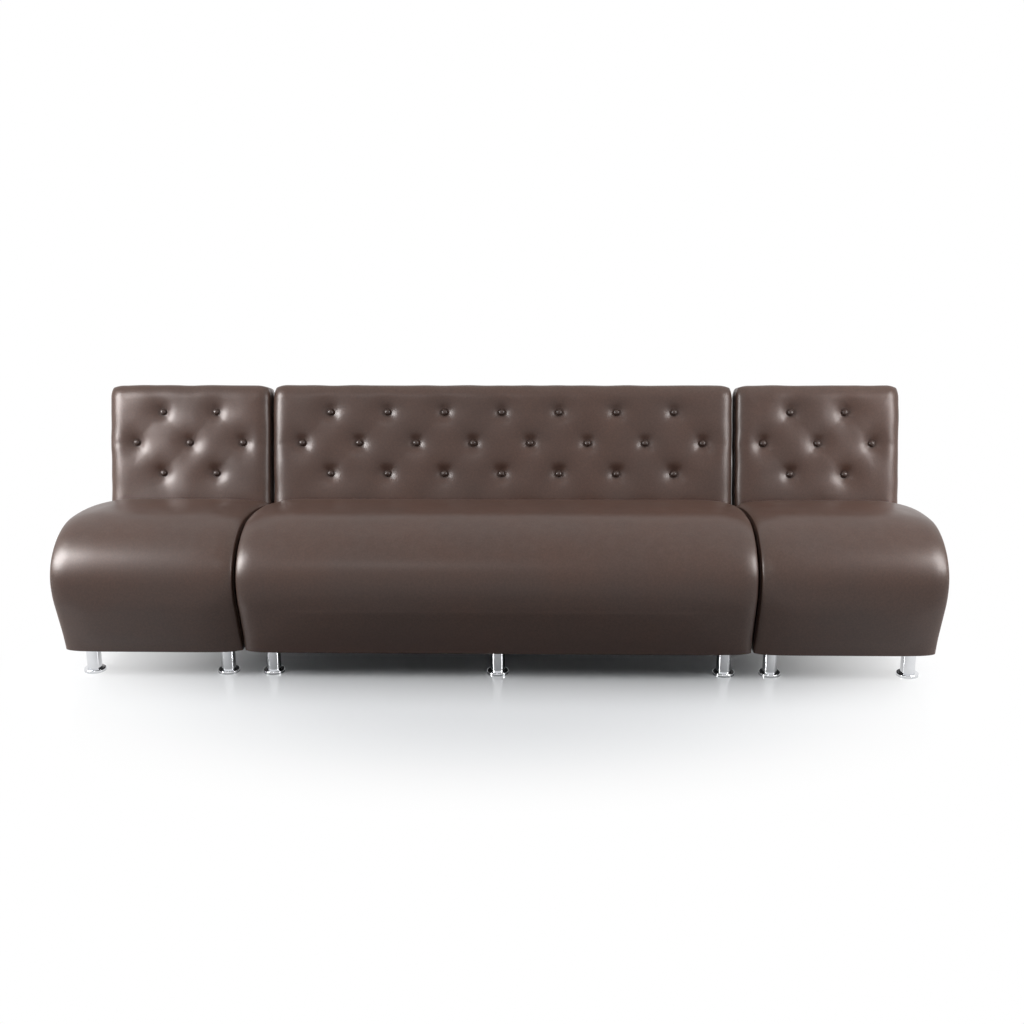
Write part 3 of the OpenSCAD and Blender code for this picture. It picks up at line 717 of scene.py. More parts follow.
# %% Hollow helper
def smooth_and_hollow(obj, core):
    """Smooths obj once, and cuts the closed form `core` out of it."""
    smoother = obj.modifiers.new("smoother", "SUBSURF")
    smoother.levels = smoother.render_levels = 1
    settled(obj)
    cutter = obj.modifiers.new("hollow", "BOOLEAN")
    cutter.operation, cutter.solver, cutter.object = "DIFFERENCE", "MANIFOLD", outward(core)
    settled(obj)
    bpy.data.objects.remove(core)


# %% [markdown]
# ## Stuffing by cloth simulation
# Blender's Cloth can blow a closed form up against its own cloth, as wadding does. The form
# starts a little too small, the cloth is held where it is stapled or tied, gravity is off, and
# after 20 frames each point's way is capped so that the cover keeps the size of its solid.


# %% Cloth simulation
SIM_FRAMES = 20


def stuff(obj, held, cap, pressure, tension):
    """Runs the cloth on obj, pinned where `held`, and returns how far each point moved."""
    start = coords(obj.data)
    pins = obj.vertex_groups.new(name="held")
    pins.add([int(i) for i in np.flatnonzero(held)], 1.0, "REPLACE")
    cloth = obj.modifiers.new("cloth", "CLOTH")
    rules = cloth.settings
    rules.quality, rules.mass, rules.air_damping = 5, 0.3, 2.0
    rules.tension_stiffness = rules.compression_stiffness = tension
    rules.shear_stiffness, rules.bending_stiffness = tension / 3, 0.5
    rules.use_pressure, rules.uniform_pressure_force = True, pressure
    rules.vertex_group_mass = "held"
    rules.effector_weights.gravity = 0
    cloth.collision_settings.use_collision = False
    cloth.point_cache.frame_start, cloth.point_cache.frame_end = 1, SIM_FRAMES
    for moment in range(1, SIM_FRAMES + 1):
        scene.frame_set(moment)
    graph = bpy.context.evaluated_depsgraph_get()
    way = coords(obj.evaluated_get(graph).data) - start
    obj.modifiers.clear()
    obj.vertex_groups.clear()
    scene.frame_set(1)
    length = np.linalg.norm(way, axis=1)
    kept = cap * np.tanh(length / cap)
    return way * (kept / np.maximum(length, 1e-9))[:, None]


# %% [markdown]
# ## Seat covers
# Each seat starts drawn in by a few millimetres and is stuffed out to its solid. It is held along
# the box behind and below, where the real cover is stapled. Then the seam round each side panel
# is pressed in, the rubbed edges and the painted shade (in the pressed seam and where seat meets
# back) are written as attributes, and the form is smoothed and hollowed. What the cloth gives is
# evened out first, so the top isn't mottled.


# %% Space inside a seat
SIDE_WALL = 0.018
STATION_REACH = (0.16, 0.10, 0.06, 0.03, 0.012, 0.0)


def hollow_half(side):
    """Half the width of the frame, the foam and the hollow of a seat."""
    return (SECTIONS[side]["w"] - SECTION_GAP) / 2 - SIDE_CROWN - SIDE_WALL


def inner_stations(side):
    """Stations across the hollow of a seat, as (x, draw), following the cover's rounded sides."""
    w = SECTIONS[side]["w"] - SECTION_GAP
    right = [hollow_half(side) - reach for reach in STATION_REACH]
    return [(-x, side_draw(w, x)) for x in reversed(right)] + [(x, side_draw(w, x)) for x in right]


def seat_core(side):
    return prism("core", [standing(x, seat_inside(SEAT_WADDING + d))
                          for x, d in inner_stations(side)])


print("hollow widths", {side: round(2 * hollow_half(side), 4) for side in SECTIONS})


# %% Seat cover pieces
SEAT_START, SEAT_SWELL, SEAM_PRESS = 0.004, 0.0030, 0.0016
HELD_BEHIND, HELD_BELOW, FREE_REACH = 0.020, 0.012, 0.06
RUB_EDGE, RUB_WIDTH, FRONT_FROM, FRONT_RUN, PAINTED_SHADE_WIDTH = 0.016, 0.03, 0.2, 0.3, 0.02


def evened(values, shape, passes=6):
    """Values on a grid of rings, averaged with their neighbours along and round the form."""
    grid = values.reshape(shape)
    for _ in range(passes):
        rows = np.vstack((grid[:1], grid, grid[-1:]))
        grid = (rows[:-2] + 2 * grid + rows[2:]) / 4
        grid = (np.roll(grid, 1, axis=1) + 2 * grid + np.roll(grid, -1, axis=1)) / 4
    return grid.reshape(-1)


def stuffed_seat(obj, shape):
    """Stuffs the seat and swells its form by what the cloth did, evened out."""
    target, away = coords(obj.data), normals(obj.data)
    _, y, z = target.T
    held = (y > plane_y(z) - HELD_BEHIND) | (z < SEAT_BOTTOM + HELD_BELOW)
    free = np.minimum(plane_y(z) - SEAT_START - y, z - SEAT_BOTTOM)
    loose = np.clip(free / FREE_REACH, 0, 1) ** 0.7
    set_coords(obj.data, target - away * (SEAT_START * loose)[:, None])
    way = stuff(obj, held, cap=0.022, pressure=3.0, tension=15.0)
    along = (way * away).sum(1) - SEAT_START
    swell = evened(SEAT_SWELL * np.tanh(along / SEAT_START), shape) * loose
    set_coords(obj.data, target + away * swell[:, None])


def seat_cover(side, step):
    w = SECTIONS[side]["w"] - SECTION_GAP
    stations = seat_stations(w, step)
    rings = np.array([seat_ring(*station) for station in stations])
    obj = lofted(f"{side}_seat_leatherette", rings)
    stuffed_seat(obj, rings.shape[:2])
    now, share = coords(obj.data), np.repeat([s for *_, s in stations], rings.shape[1])
    now[:, 0] = np.clip(now[:, 0], -w / 2, w / 2)
    seam = np.isclose(share, SEAM_SHARES[1])
    now[seam] -= normals(obj.data)[seam] * SEAM_PRESS
    set_coords(obj.data, now)
    x, y, z = now.T
    bend = np.clip(1 - np.abs(np.abs(x) - (w / 2 - RUB_EDGE)) / RUB_WIDTH, 0, 1) * (share < 0.01)
    front = np.clip((-y - FRONT_FROM) / FRONT_RUN, 0, 1)
    # Painted shade: dark in the pressed seam, and darker near the line where the seat meets the
    # back.
    heel = np.clip((PAINTED_SHADE_WIDTH - np.abs(y - plane_y(z))) / PAINTED_SHADE_WIDTH, 0, 1)
    write_attribute(obj.data, "rub", np.clip(bend * 0.6 + front * 0.15, 0, 1))
    write_attribute(obj.data, "fold", np.where(seam, 0.9, heel * 0.5))
    smooth_and_hollow(obj, seat_core(side))
    set_coords(obj.data, coords(obj.data) + row_place(side))
    return finished_in(obj, leather)


for side, step in (("left", 0.010), ("centre", 0.012), ("right", 0.010)):
    seat = seat_cover(side, step)
    on_row(seat, "leatherette", f"{side}_seat_cover")

# %% [markdown]
# ## The front of a back
# A back is a padded board. Its front is one sheet, pulled in by rows of covered buttons and
# turned round the edges. The sheet is drawn on a grid whose lines are close together. At its
# upper corners the two roundings meet, so a pair of shares is bent onto a quarter disc.


# %% Places of the buttons
PAIR_RISE, PAIR_REACH, SIDE_PULL = 1.5, 1.2, np.array((0.075, 0.006))


def button_places(section):
    """Three rows, the middle one with a button more than the others."""
    pitch = (section["w"] - 2 * section["margin"]) / (section["buttons"] - 1)
    places = []
    for row in range(3):
        n = section["buttons"] - (0 if row == 1 else 1)
        places += [((i - (n - 1) / 2) * pitch, BUTTON_LOW + row * ROW_PITCH) for i in range(n)]
    return np.array(places)


def pull_lines(places):
    """Pairs of diagonal neighbours, and of the outer buttons with points near the sides."""
    pairs = [(a, b) for a in places for b in places if 0 < b[1] - a[1] < PAIR_RISE * ROW_PITCH]
    pairs = [(a, b) for a, b in pairs if abs(b[0] - a[0]) < PAIR_REACH * ROW_PITCH]
    low, high = places[places[:, 0].argmin()], places[places[:, 0].argmax()]
    return pairs + [(low, low - SIDE_PULL), (high, high + SIDE_PULL * (1, -1))]


print("buttons", {side: len(button_places(section)) for side, section in SECTIONS.items()})


# %% Back sheet
EDGE_TURN, TURN_STEPS, CORNER, TUCK_H, TUCK_STEP = 0.046, 10, 0.345, 0.08, 0.016
PIT_REACH, PIT_SHARE, PILLOW_REACH, PILLOW_SHARE, FULL_TUFT = 0.017, 0.56, 0.043, 0.44, 1.12
PULL_DEPTH, PULL_WIDTH = 0.0012, 0.010


def lines_between(low, high, step):
    count = max(1, round((high - low) / step))
    return [low + (high - low) * i / count for i in range(count)]


def back_grid(section, step):
    """Lines across and up the front, as (place, share of the rounding)."""
    half, top = (section["w"] - 2 * BACK_INSET) / 2 - EDGE_TURN, BACK_H - EDGE_TURN
    turn = [math.sin(math.pi / 2 * i / TURN_STEPS) for i in range(TURN_STEPS + 1)]
    across = [(-half, -s) for s in reversed(turn[1:])]
    across += [(x, 0.0) for x in lines_between(-half, half, step)] + [(half, s) for s in turn]
    up = lines_between(-TUCK_H, 0.0, TUCK_STEP) + lines_between(0.0, top, step)
    return np.array(across), np.array([(z, 0.0) for z in up] + [(top, s) for s in turn])


def back_front(section, step):
    """Points of the front on its grid, and how far each is turned to the side and upwards."""
    across, up = back_grid(section, step)
    p, q = np.meshgrid(across[:, 1], up[:, 1])
    x, z = np.meshgrid(across[:, 0], up[:, 0])
    e0, e1 = p * np.sqrt(1 - CORNER * q * q), q * np.sqrt(1 - CORNER * p * p)
    y = BACK_ROUND * (1 - np.sqrt(np.maximum(0, 1 - p * p - q * q + p * p * q * q)))
    return (np.stack((x + EDGE_TURN * e0, y, z + EDGE_TURN * e1), axis=2),
            np.stack((e0, e1), axis=2).reshape(-1, 2))


def pit_depth(x, z, places):
    """How deep the tufts are at each point, with faint pulls from button to button."""
    gaps = np.hypot(x[:, None] - places[:, 0], z[:, None] - places[:, 1])
    away = np.maximum(0, gaps - BUTTON_D / 2)
    pits = (PIT_SHARE * np.exp(-(away / PIT_REACH) ** 1.35)
            + PILLOW_SHARE * np.exp(-(away / PILLOW_REACH) ** 1.5)).sum(axis=1)
    pulls = np.zeros(len(x))
    for a, b in pull_lines(places):
        way = b - a
        length = np.hypot(*way)
        along = ((x - a[0]) * way[0] + (z - a[1]) * way[1]) / length ** 2
        aside = ((x - a[0]) * way[1] - (z - a[1]) * way[0]) / length
        strength = 0.3 + 0.7 * np.abs(2 * along - 1) ** 1.5
        between = (along > 0) & (along < 1)
        pulls += np.where(between, strength, 0) * np.exp(-(aside / PULL_WIDTH) ** 2)
    depth = TUFT_DEPTH * FULL_TUFT * np.minimum(pits, 1.0) + PULL_DEPTH * np.minimum(pulls, 1.0)
    return depth, gaps.min(axis=1)


print("lines of the left grid", [len(lines) for lines in back_grid(SECTIONS["left"], 0.0065)])


# %% [markdown]
# ## Stuffing and closing a back
# The sheet is stuffed between its buttons, held at its rim and round each button, and gets the
# slow unevenness of hand-made padding. Walls are then carried back from its rim to a small rear
# edge and the rear panel. The slab's outline, `back_loop`, also shapes the hollow and the foam.


# %% Stuffed front
WANDER, HELD_ROUND, HELD_TURN, HELD_FOOT = 0.0018, 0.001, 0.75, 0.005


def wander(points, seed):
    """A slow unevenness from 0 to WANDER, one number a point."""
    found = [noise.noise(Vector((x * 13 + seed * 7, y * 5, z * 13))) for x, y, z in points]
    return WANDER * np.clip(np.array(found)[:, None] + 0.5, 0, 1)


def stuffed_front(side, front, bend, faces):
    """The tufted and stuffed sheet, and how far each point is from its nearest button."""
    section = SECTIONS[side]
    sheet = front.reshape(-1, 3).copy()
    depth, near = pit_depth(sheet[:, 0], sheet[:, 2], button_places(section))
    sheet[:, 1] += depth
    rim = np.ones(front.shape[:2], bool)
    rim[1:-1, 1:-1] = False
    turned = np.minimum(1, np.hypot(*bend.T)) > HELD_TURN
    held = (rim.ravel() | turned | (near < BUTTON_D / 2 + HELD_ROUND)
            | (sheet[:, 2] < HELD_FOOT))
    cloth = mesh_object(f"{side}_back_cloth", sheet, faces)
    sheet = sheet + stuff(cloth, held, cap=0.012, pressure=0.9, tension=20.0)
    bpy.data.objects.remove(cloth)
    push = np.column_stack((-bend[:, 0], np.ones(len(bend)), -bend[:, 1]))
    sheet += wander(sheet, section["x"]) * push
    foot = front.shape[1]
    sheet[:foot, 2] = foot_z(sheet[:foot, 1])
    return sheet, near


# %% Slab and hollow of a back
FRONT_ROUNDING = ((0.0, 0.010), (0.003, 0.004), (0.008, 0.0))
CORE_DROP = 0.010


def tipped(points):
    """Points of the upright back, tipped by the recline round the junction line."""
    x, y, z = points.T
    return np.column_stack((x, y * COS + z * SIN, z * COS - y * SIN + JUNCTION_H))


def back_loop(section, inset, y, drop=0.0, step=0.0):
    """Outline of a slab of the back at depth y, from its foot on the left round to its right."""
    half, top, r = section["w"] / 2 - BACK_INSET - inset, BACK_H - inset, BACK_ROUND - inset
    low = foot_z(y) - drop
    corner = [(half - r + r * math.sin(a), top - r + r * math.cos(a))
              for a in (math.pi / 2 * i / 8 for i in range(9))]
    side, across = [(half, low)], []
    if step:
        rise, run = max(1, round((top - r - low) / step)), max(1, round(2 * (half - r) / step))
        side = [(half, low + (top - r - low) * i / rise) for i in range(rise)]
        across = [(x, top) for x in np.linspace(0, half - r, run // 2, endpoint=False)]
    right = side + list(reversed(corner)) + list(reversed(across))
    left = [(-x, z) for x, z in reversed(right) if x > 0]
    return np.array([(x, y, z) for x, z in right + left])


def back_core(section):
    stops = [(BACK_WADDING + y, inset) for y, inset in FRONT_ROUNDING]
    return prism("core", [back_loop(section, BACK_WALL + inset, y, drop=CORE_DROP)
                          for y, inset in stops + [(BACK_T - BACK_WALL, 0.0)]])


print("points of a slab's outline", len(back_loop(SECTIONS["left"], 0.0, BACK_T)))


# %% Closed back
WALL_STOPS, WALL_SWELL, SWELL_STOP = (0.04, 0.14, 0.28, 0.42, 0.56, 0.7, 0.84, 0.95), 0.0047, 0.8
REAR_EDGE = (0.0, 30.0, 60.0, 90.0)


def wall_hoops(start_y):
    """The rings behind the front's rim, as (depths, way outwards, way down from the top)."""
    wall_end, hoops = BACK_T - BACK_WALL, []
    for s in WALL_STOPS:
        swell = WALL_SWELL * math.sin(math.pi * min(1, s * 1.25) ** 1.3) ** 2
        hoops.append((start_y + (wall_end - start_y) * s, swell if s < SWELL_STOP else 0.0, 0.0))
    for a in map(math.radians, REAR_EDGE):
        inset = BACK_WALL * (1 - math.cos(a))
        depths = np.full_like(start_y, wall_end + BACK_WALL * math.sin(a))
        hoops.append((depths, -inset, inset))
    return hoops


def closed_back(side, sheet, front, bend, faces):
    """The front sheet, walls carried back from its rim, a small rear edge, and the rear panel."""
    nr, nc = front.shape[:2]
    rim = ([j * nc for j in range(nr)] + [(nr - 1) * nc + i for i in range(1, nc)]
           + [j * nc + nc - 1 for j in range(nr - 2, -1, -1)] + list(range(nc - 2, 0, -1)))
    n, flat_front = len(rim), front.reshape(-1, 3)
    points, built, previous = [tuple(p) for p in sheet], list(faces), rim
    for depths, out, down in wall_hoops(sheet[rim, 1]):
        ring = list(range(len(points), len(points) + n))
        for k, y in zip(rim, depths):
            x, z = sheet[k, 0] + out * bend[k, 0], sheet[k, 2] - down * bend[k, 1]
            points.append((x, y, foot_z(y) if k < nc else z))
        built += [(previous[i], ring[i], ring[(i + 1) % n], previous[(i + 1) % n])
                  for i in range(n)]
        previous = ring
    rear = dict(zip(rim, previous))
    for k in range(nr * nc):
        if k not in rear:
            rear[k] = len(points)
            points.append((flat_front[k, 0] - BACK_WALL * bend[k, 0], BACK_T,
                           flat_front[k, 2] - BACK_WALL * bend[k, 1]))
    built += [tuple(rear[k] for k in reversed(face)) for face in faces]
    return outward(mesh_object(f"{side}_back_leatherette", points, built))


# %% Back cover pieces
PAINTED_SHADE_REACH, RUB_FROM, RUB_RUN, MARK = 0.007, 0.3, 0.5, 0.7


def back_cover(side, step):
    front, bend = back_front(SECTIONS[side], step)
    nr, nc = front.shape[:2]
    faces = [(j * nc + i, j * nc + i + 1, (j + 1) * nc + i + 1, (j + 1) * nc + i)
             for j in range(nr - 1) for i in range(nc - 1)]
    sheet, near = stuffed_front(side, front, bend, faces)
    back = closed_back(side, sheet, front, bend, faces)
    edge = np.minimum(1, np.hypot(*bend.T))
    # Painted shade in the pits, within a few millimetres of each button's rim.
    fold = np.clip(1 - (near - BUTTON_D / 2) / PAINTED_SHADE_REACH, 0, 1)
    write_attribute(back.data, "fold", fold * MARK)
    write_attribute(back.data, "rub", np.clip((edge - RUB_FROM) / RUB_RUN, 0, 1) * MARK)
    smooth_and_hollow(back, back_core(SECTIONS[side]))
    set_coords(back.data, tipped(coords(back.data)) + row_place(side))
    return finished_in(back, leather)


for side, step in (("left", 0.0065), ("centre", 0.0075), ("right", 0.0065)):
    back = back_cover(side, step)
    on_row(back, "leatherette", f"{side}_back_cover")

# %% [markdown]
# ## Geometry Nodes for what repeats
# Buttons, staples, screws and straps are each one small form set down many times, and stitches
# follow a seam. Two trees do this. The first sets a form on every vertex of a mesh of places,
# turned by the attribute `facing`. The second lays stitches along the edges of a mesh path.


# %% Two trees
OBJECT, MATERIAL, GEOMETRY, INTEGER = (
    "NodeSocketObject", "NodeSocketMaterial", "NodeSocketGeometry", "NodeSocketInt")


def repeating_tree(name, *inputs):
    sockets = [("Geometry", GEOMETRY, None), *inputs, ("Finish", MATERIAL, None)]
    tree, given, result = group(name, sockets, [("Geometry", GEOMETRY)], "GeometryNodeTree")
    tree.is_modifier = True
    return tree, given, result


def along_z(tree, way):
    return add(tree, "FunctionNodeAlignRotationToVector", {"Vector": way}, axis="Z").outputs[0]


def copies_out(tree, given, result, points, form, turned):
    """Ends a tree: the form on each point, made real, in its finish."""
    copies = add(tree, "GeometryNodeInstanceOnPoints",
                 {"Points": points, "Instance": form, "Rotation": turned}).outputs[0]
    real = add(tree, "GeometryNodeRealizeInstances", {"Geometry": copies}).outputs[0]
    done = add(tree, "GeometryNodeSetMaterial", {"Geometry": real, "Material": given["Finish"]})
    tree.links.new(done.outputs[0], result[0])
    return tree


def placing_tree():
    tree, given, result = repeating_tree(
        "set_on_places", ("Form", OBJECT, None), ("Turn", FLOAT, 0.0), ("Tilt", FLOAT, 0.0),
        ("Seed", INTEGER, 1))

    def drawn(reach, seed):
        return add(tree, "FunctionNodeRandomValue", {
            2: calc(tree, "MULTIPLY", reach, -1.0), 3: reach, "Seed": seed},
            data_type="FLOAT").outputs[1]

    facing = add(tree, "GeometryNodeInputNamedAttribute", {"Name": "facing"},
                 data_type="FLOAT_VECTOR").outputs["Attribute"]
    other_seed = add(tree, "FunctionNodeIntegerMath", {0: given["Seed"], 1: 7}, operation="ADD")
    lean, spin = drawn(given["Tilt"], other_seed.outputs[0]), drawn(given["Turn"], given["Seed"])
    angles = add(tree, "ShaderNodeCombineXYZ", {"X": lean, "Z": spin})
    local = add(tree, "FunctionNodeEulerToRotation", {0: angles.outputs[0]}).outputs[0]
    turned = add(tree, "FunctionNodeRotateRotation", rotation_space="LOCAL", inputs={
        "Rotation": along_z(tree, facing), "Rotate By": local}).outputs[0]
    form = add(tree, "GeometryNodeObjectInfo", {"Object": given["Form"]}).outputs["Geometry"]
    return copies_out(tree, given, result, given["Geometry"], form, turned)


def stitching_tree():
    tree, given, result = repeating_tree(
        "stitches_along", ("Pitch", FLOAT, 0.007), ("Length", FLOAT, 0.005),
        ("Thickness", FLOAT, 0.0009))
    line = add(tree, "GeometryNodeMeshToCurve", {"Mesh": given["Geometry"]}).outputs[0]
    even = add(tree, "GeometryNodeResampleCurve", {"Curve": line, "Length": given["Pitch"]},
               mode="LENGTH").outputs[0]
    turned = along_z(tree, add(tree, "GeometryNodeInputTangent").outputs[0])
    stitch = add(tree, "GeometryNodeMeshCylinder", {
        "Vertices": 6, "Radius": calc(tree, "MULTIPLY", given["Thickness"], 0.5),
        "Depth": given["Length"]}, fill_type="TRIANGLE_FAN").outputs["Mesh"]
    return copies_out(tree, given, result, even, stitch, turned)


PLACING, STITCHING = placing_tree(), stitching_tree()
print("trees", PLACING.name, STITCHING.name)


# %% Running a tree
def run_tree(obj, tree, **values):
    """Puts the tree on obj with named inputs, and keeps what it makes as a plain mesh."""
    modifier = obj.modifiers.new("repeat", "NODES")
    modifier.node_group = tree
    by_name = {item.name: item.identifier for item in tree.interface.items_tree
               if item.in_out == "INPUT"}
    for name, value in values.items():
        modifier[by_name[name]] = value
    return settled(obj)


def set_down(name, places, facing, **values):
    """Sets a form on places that all face one way."""
    obj = mesh_object(name, places)
    ways = obj.data.attributes.new("facing", "FLOAT_VECTOR", "POINT")
    ways.data.foreach_set("vector", np.tile(facing, len(places)).astype(np.float32))
    return run_tree(obj, PLACING, **values)


def hidden_form(obj):
    """Takes a form out of the scene; Geometry Nodes can still use it."""
    scene.collection.objects.unlink(obj)
    return obj


# %% [markdown]
# ## Covered buttons
# A covered button is a metal shell with leatherette drawn over it, so its rim is finely pleated
# and its dome is smooth. Behind it a tie runs through the padding and the panel to a clip. One
# button is turned on a profile with pleats added near the rim, and Geometry Nodes set the rest.


# %% One covered button
TIE_D, CLIP_D, CLIP_T, TIE_PLAY = 0.003, 0.016, 0.002, 0.00008
TIE_LENGTH = BACK_WADDING + BACK_FOAM_T + BACK_PANEL_T + TIE_PLAY - TUFT_DEPTH
SHELL_Z, RIM_Z, TAIL_Z, PLEATS, PLEAT_DEPTH = -0.0012, -0.0030, -0.0036, 12, 0.022
ANY_TURN = 3.14


def turned_form(name, profile, sides, ripple):
    """A closed form turned about Z from (radius, height) pairs that start and end on the axis."""
    points = [(0, 0, profile[0][1])]
    for r, z in profile[1:-1]:
        for a in (2 * math.pi * i / sides for i in range(sides)):
            k = ripple(r, a)
            points.append((r * k * math.cos(a), r * k * math.sin(a), z))
    points.append((0, 0, profile[-1][1]))
    top, last = len(points) - 1, len(points) - 1 - sides
    faces = [tuple(1 + k for k in face) for face in band_faces(len(profile) - 2, sides)]
    for i in range(sides):
        k = (i + 1) % sides
        faces += [(0, 1 + k, 1 + i), (last + i, last + k, top)]
    return outward(mesh_object(name, points, faces))


def button_form():
    r, clip_z = BUTTON_D / 2, -TIE_LENGTH - CLIP_T
    dome = [(r * math.sin(a), SHELL_Z + (BUTTON_H - SHELL_Z) * math.cos(a) ** 0.9)
            for a in (math.pi / 2 * i / 9 for i in range(9))]
    rim = [(r, SHELL_Z), (r * 0.93, RIM_Z), (r * 0.6, TAIL_Z)]
    tie = [(TIE_D / 2, TAIL_Z), (TIE_D / 2, -TIE_LENGTH)]
    clip = [(CLIP_D / 2, -TIE_LENGTH), (CLIP_D / 2, clip_z), (0, clip_z)]
    return hidden_form(turned_form(
        "button_form", dome + rim + tie + clip, 36,
        lambda q, a: 1 + (PLEAT_DEPTH * math.cos(PLEATS * a) if q > 0.75 * r else 0.0)))


print("tie length", round(TIE_LENGTH, 5))


# %% Button pieces
BUTTON = button_form()
for side, section in SECTIONS.items():
    x, z = button_places(section).T
    spots = tipped(np.column_stack((x, np.full(len(x), TUFT_DEPTH), z))) + row_place(side)
    buttons = set_down(f"{side}_covered_buttons", spots, (0.0, -COS, SIN), Form=BUTTON,
                       Turn=ANY_TURN, Tilt=0.05, Seed=11, Finish=button_leather)
    on_row(buttons, "leatherette_buttons", f"{side}_buttons")

# %% [markdown]
# ## Stitched seams
# The side panels of the seats are sewn in, and a line of stitches runs beside each seam on the
# panel. The rear panel of each back is sewn in the same way. A seam is a closed path of edges
# taken from the outlines above, laid on the finished cover, for the second tree.


# %% Seam paths and stitches
STITCH_PITCH, STITCH_LENGTH, STITCH_THICK, STITCH_LIFT = 0.0065, 0.0046, 0.0010, 0.0002
SEAM_IN, REAR_SEAM_IN, SEAM_STEP = 0.05, 0.018, 0.03


def laid_on(piece, loop):
    """The loop's points moved onto the nearest place on the piece, and a hair out of it."""
    surface = BVHTree.FromPolygons([v.co for v in piece.data.vertices],
                                   [tuple(f.vertices) for f in piece.data.polygons])
    found = [surface.find_nearest(Vector(p)) for p in loop]
    return [place + normal * STITCH_LIFT for place, normal, *_ in found]


for side, section in SECTIONS.items():
    seat, back = (bpy.data.objects[f"{side}_{part}_leatherette"] for part in ("seat", "back"))
    half, outline = (section["w"] - SECTION_GAP) / 2, seat_outline(EDGE_DRAW)
    outline = outline + SEAM_IN * (SIDE_MID - outline)
    rear = back_loop(section, REAR_SEAM_IN, BACK_T, drop=-REAR_SEAM_IN, step=SEAM_STEP)
    points, edges = [], []
    for piece, loop in ((seat, standing(-half, outline)), (seat, standing(half, outline)),
                        (back, tipped(rear))):
        base, n = len(points), len(loop)
        points += laid_on(piece, loop + row_place(side))
        edges += [(base + i, base + (i + 1) % n) for i in range(n)]
    stitches = run_tree(mesh_object(f"{side}_stitches", points, edges=edges), STITCHING,
                        Pitch=STITCH_PITCH, Length=STITCH_LENGTH, Thickness=STITCH_THICK,
                        Finish=thread)
    on_row(stitches, "leatherette")

# %% [markdown]
# ## Foam
# The seat's foam is one pad that lies on the webbing and rolls down over the front board. The
# back's is a plain slab. Cut foam has slightly rounded edges and an open-celled skin. Each is a
# band of rings through its own outlines, a hair smaller than the hollow that holds it.


# %% Outlines of the foam
WEB_H, WEB_T, ROLL_FOAM, TOE_FOAM, SOLE_Z = 0.380, 0.002, 0.068, 0.020, 0.093
NOSE_Y = -(FRONT_REACH - SEAT_WADDING - ROLL_FOAM)
BOARD_TOE = toe_y(SOLE_Z, SEAT_WADDING + TOE_FOAM)
FOAM_POINTS = 70


def stretched_along(points, count):
    """The polyline's points replaced by `count` points evenly spread along it."""
    points = np.array(points)
    way = np.r_[0, np.cumsum(np.linalg.norm(np.diff(points, axis=0), axis=1))]
    even = np.linspace(0, way[-1], count)
    return np.column_stack([np.interp(even, way, points[:, k]) for k in (0, 1)])


def drawn_in(ring, d):
    """A closed outline in a plane moved inwards by d at each of its points."""
    along = np.roll(ring, -1, axis=0) - np.roll(ring, 1, axis=0)
    across = np.column_stack((-along[:, 1], along[:, 0]))
    across /= np.linalg.norm(across, axis=1)[:, None]
    x, y = ring.T
    turn = np.sign((x * np.roll(y, -1) - np.roll(x, -1) * y).sum())
    return ring + turn * across * d


def seat_foam_outline(d):
    outer = np.vstack((lined_skin(SEAT_WADDING + d), (toe_y(SOLE_Z, SEAT_WADDING + d), SOLE_Z)))
    top = WEB_H + WEB_T + HAIR
    inner = [(BOARD_TOE - HAIR, SOLE_Z), (NOSE_Y - HAIR, WEB_H), (NOSE_Y - HAIR, top),
             (plane_y(top) - BACK_SKIN, top)]
    return np.vstack((stretched_along(outer, FOAM_POINTS), stretched_along(inner, FOAM_POINTS)))


print("foam nose at y", round(NOSE_Y, 4), "board toe at y", round(BOARD_TOE, 4))


# %% Foam pieces
CUT_ROUND, CUT_EASE, SLAB_EASE, SLAB_STEP = 0.004, 0.0005, 0.0012, 0.02


def seat_foam_rings(side):
    """Rings across the seat, the outermost ones drawn in to round the cut edges."""
    stations, shrunk = inner_stations(side), 1 - HAIR / hollow_half(side)
    eased = [CUT_ROUND, CUT_EASE] + [0.0] * (len(stations) - 4) + [CUT_EASE, CUT_ROUND]
    return [standing(x * shrunk, drawn_in(seat_foam_outline(d), HAIR + ease))
            for (x, d), ease in zip(stations, eased)]


def back_foam_rings(section):
    rings = []
    for y, inset in FRONT_ROUNDING + ((BACK_FOAM_T - CUT_ROUND, 0.0),
                                      (BACK_FOAM_T - SLAB_EASE, SLAB_EASE),
                                      (BACK_FOAM_T, CUT_ROUND)):
        y = BACK_WADDING + HAIR + y * (1 - 2 * HAIR / BACK_FOAM_T)
        rings.append(tipped(back_loop(section, BACK_WALL + HAIR + inset, y,
                                      drop=-inset - HAIR, step=SLAB_STEP)))
    return rings


for side, section in SECTIONS.items():
    for part, form, rings in (("seat", "pad", seat_foam_rings(side)),
                              ("back", "slab", back_foam_rings(section))):
        foam = finished_in(lofted(f"{side}_{part}_foam_{form}", rings), foam_finish)
        set_coords(foam.data, coords(foam.data) + row_place(side))
        on_row(foam, "foam", f"{side}_{part}_foam")

# %% [markdown]
# ## Webbing
# Elastic straps carry the seat foam. One strap is a flat band with rounded selvedges and a fine
# rib across its weave; Geometry Nodes set it four times for each seat, side by side.

# %% Webbing pieces
WEB_W, WEB_FLAT, STRAPS, RIB_LINES, RIB_DEPTH = 0.060, 0.022, 4, 61, 0.00012
UP = (0.0, 0.0, 1.0)


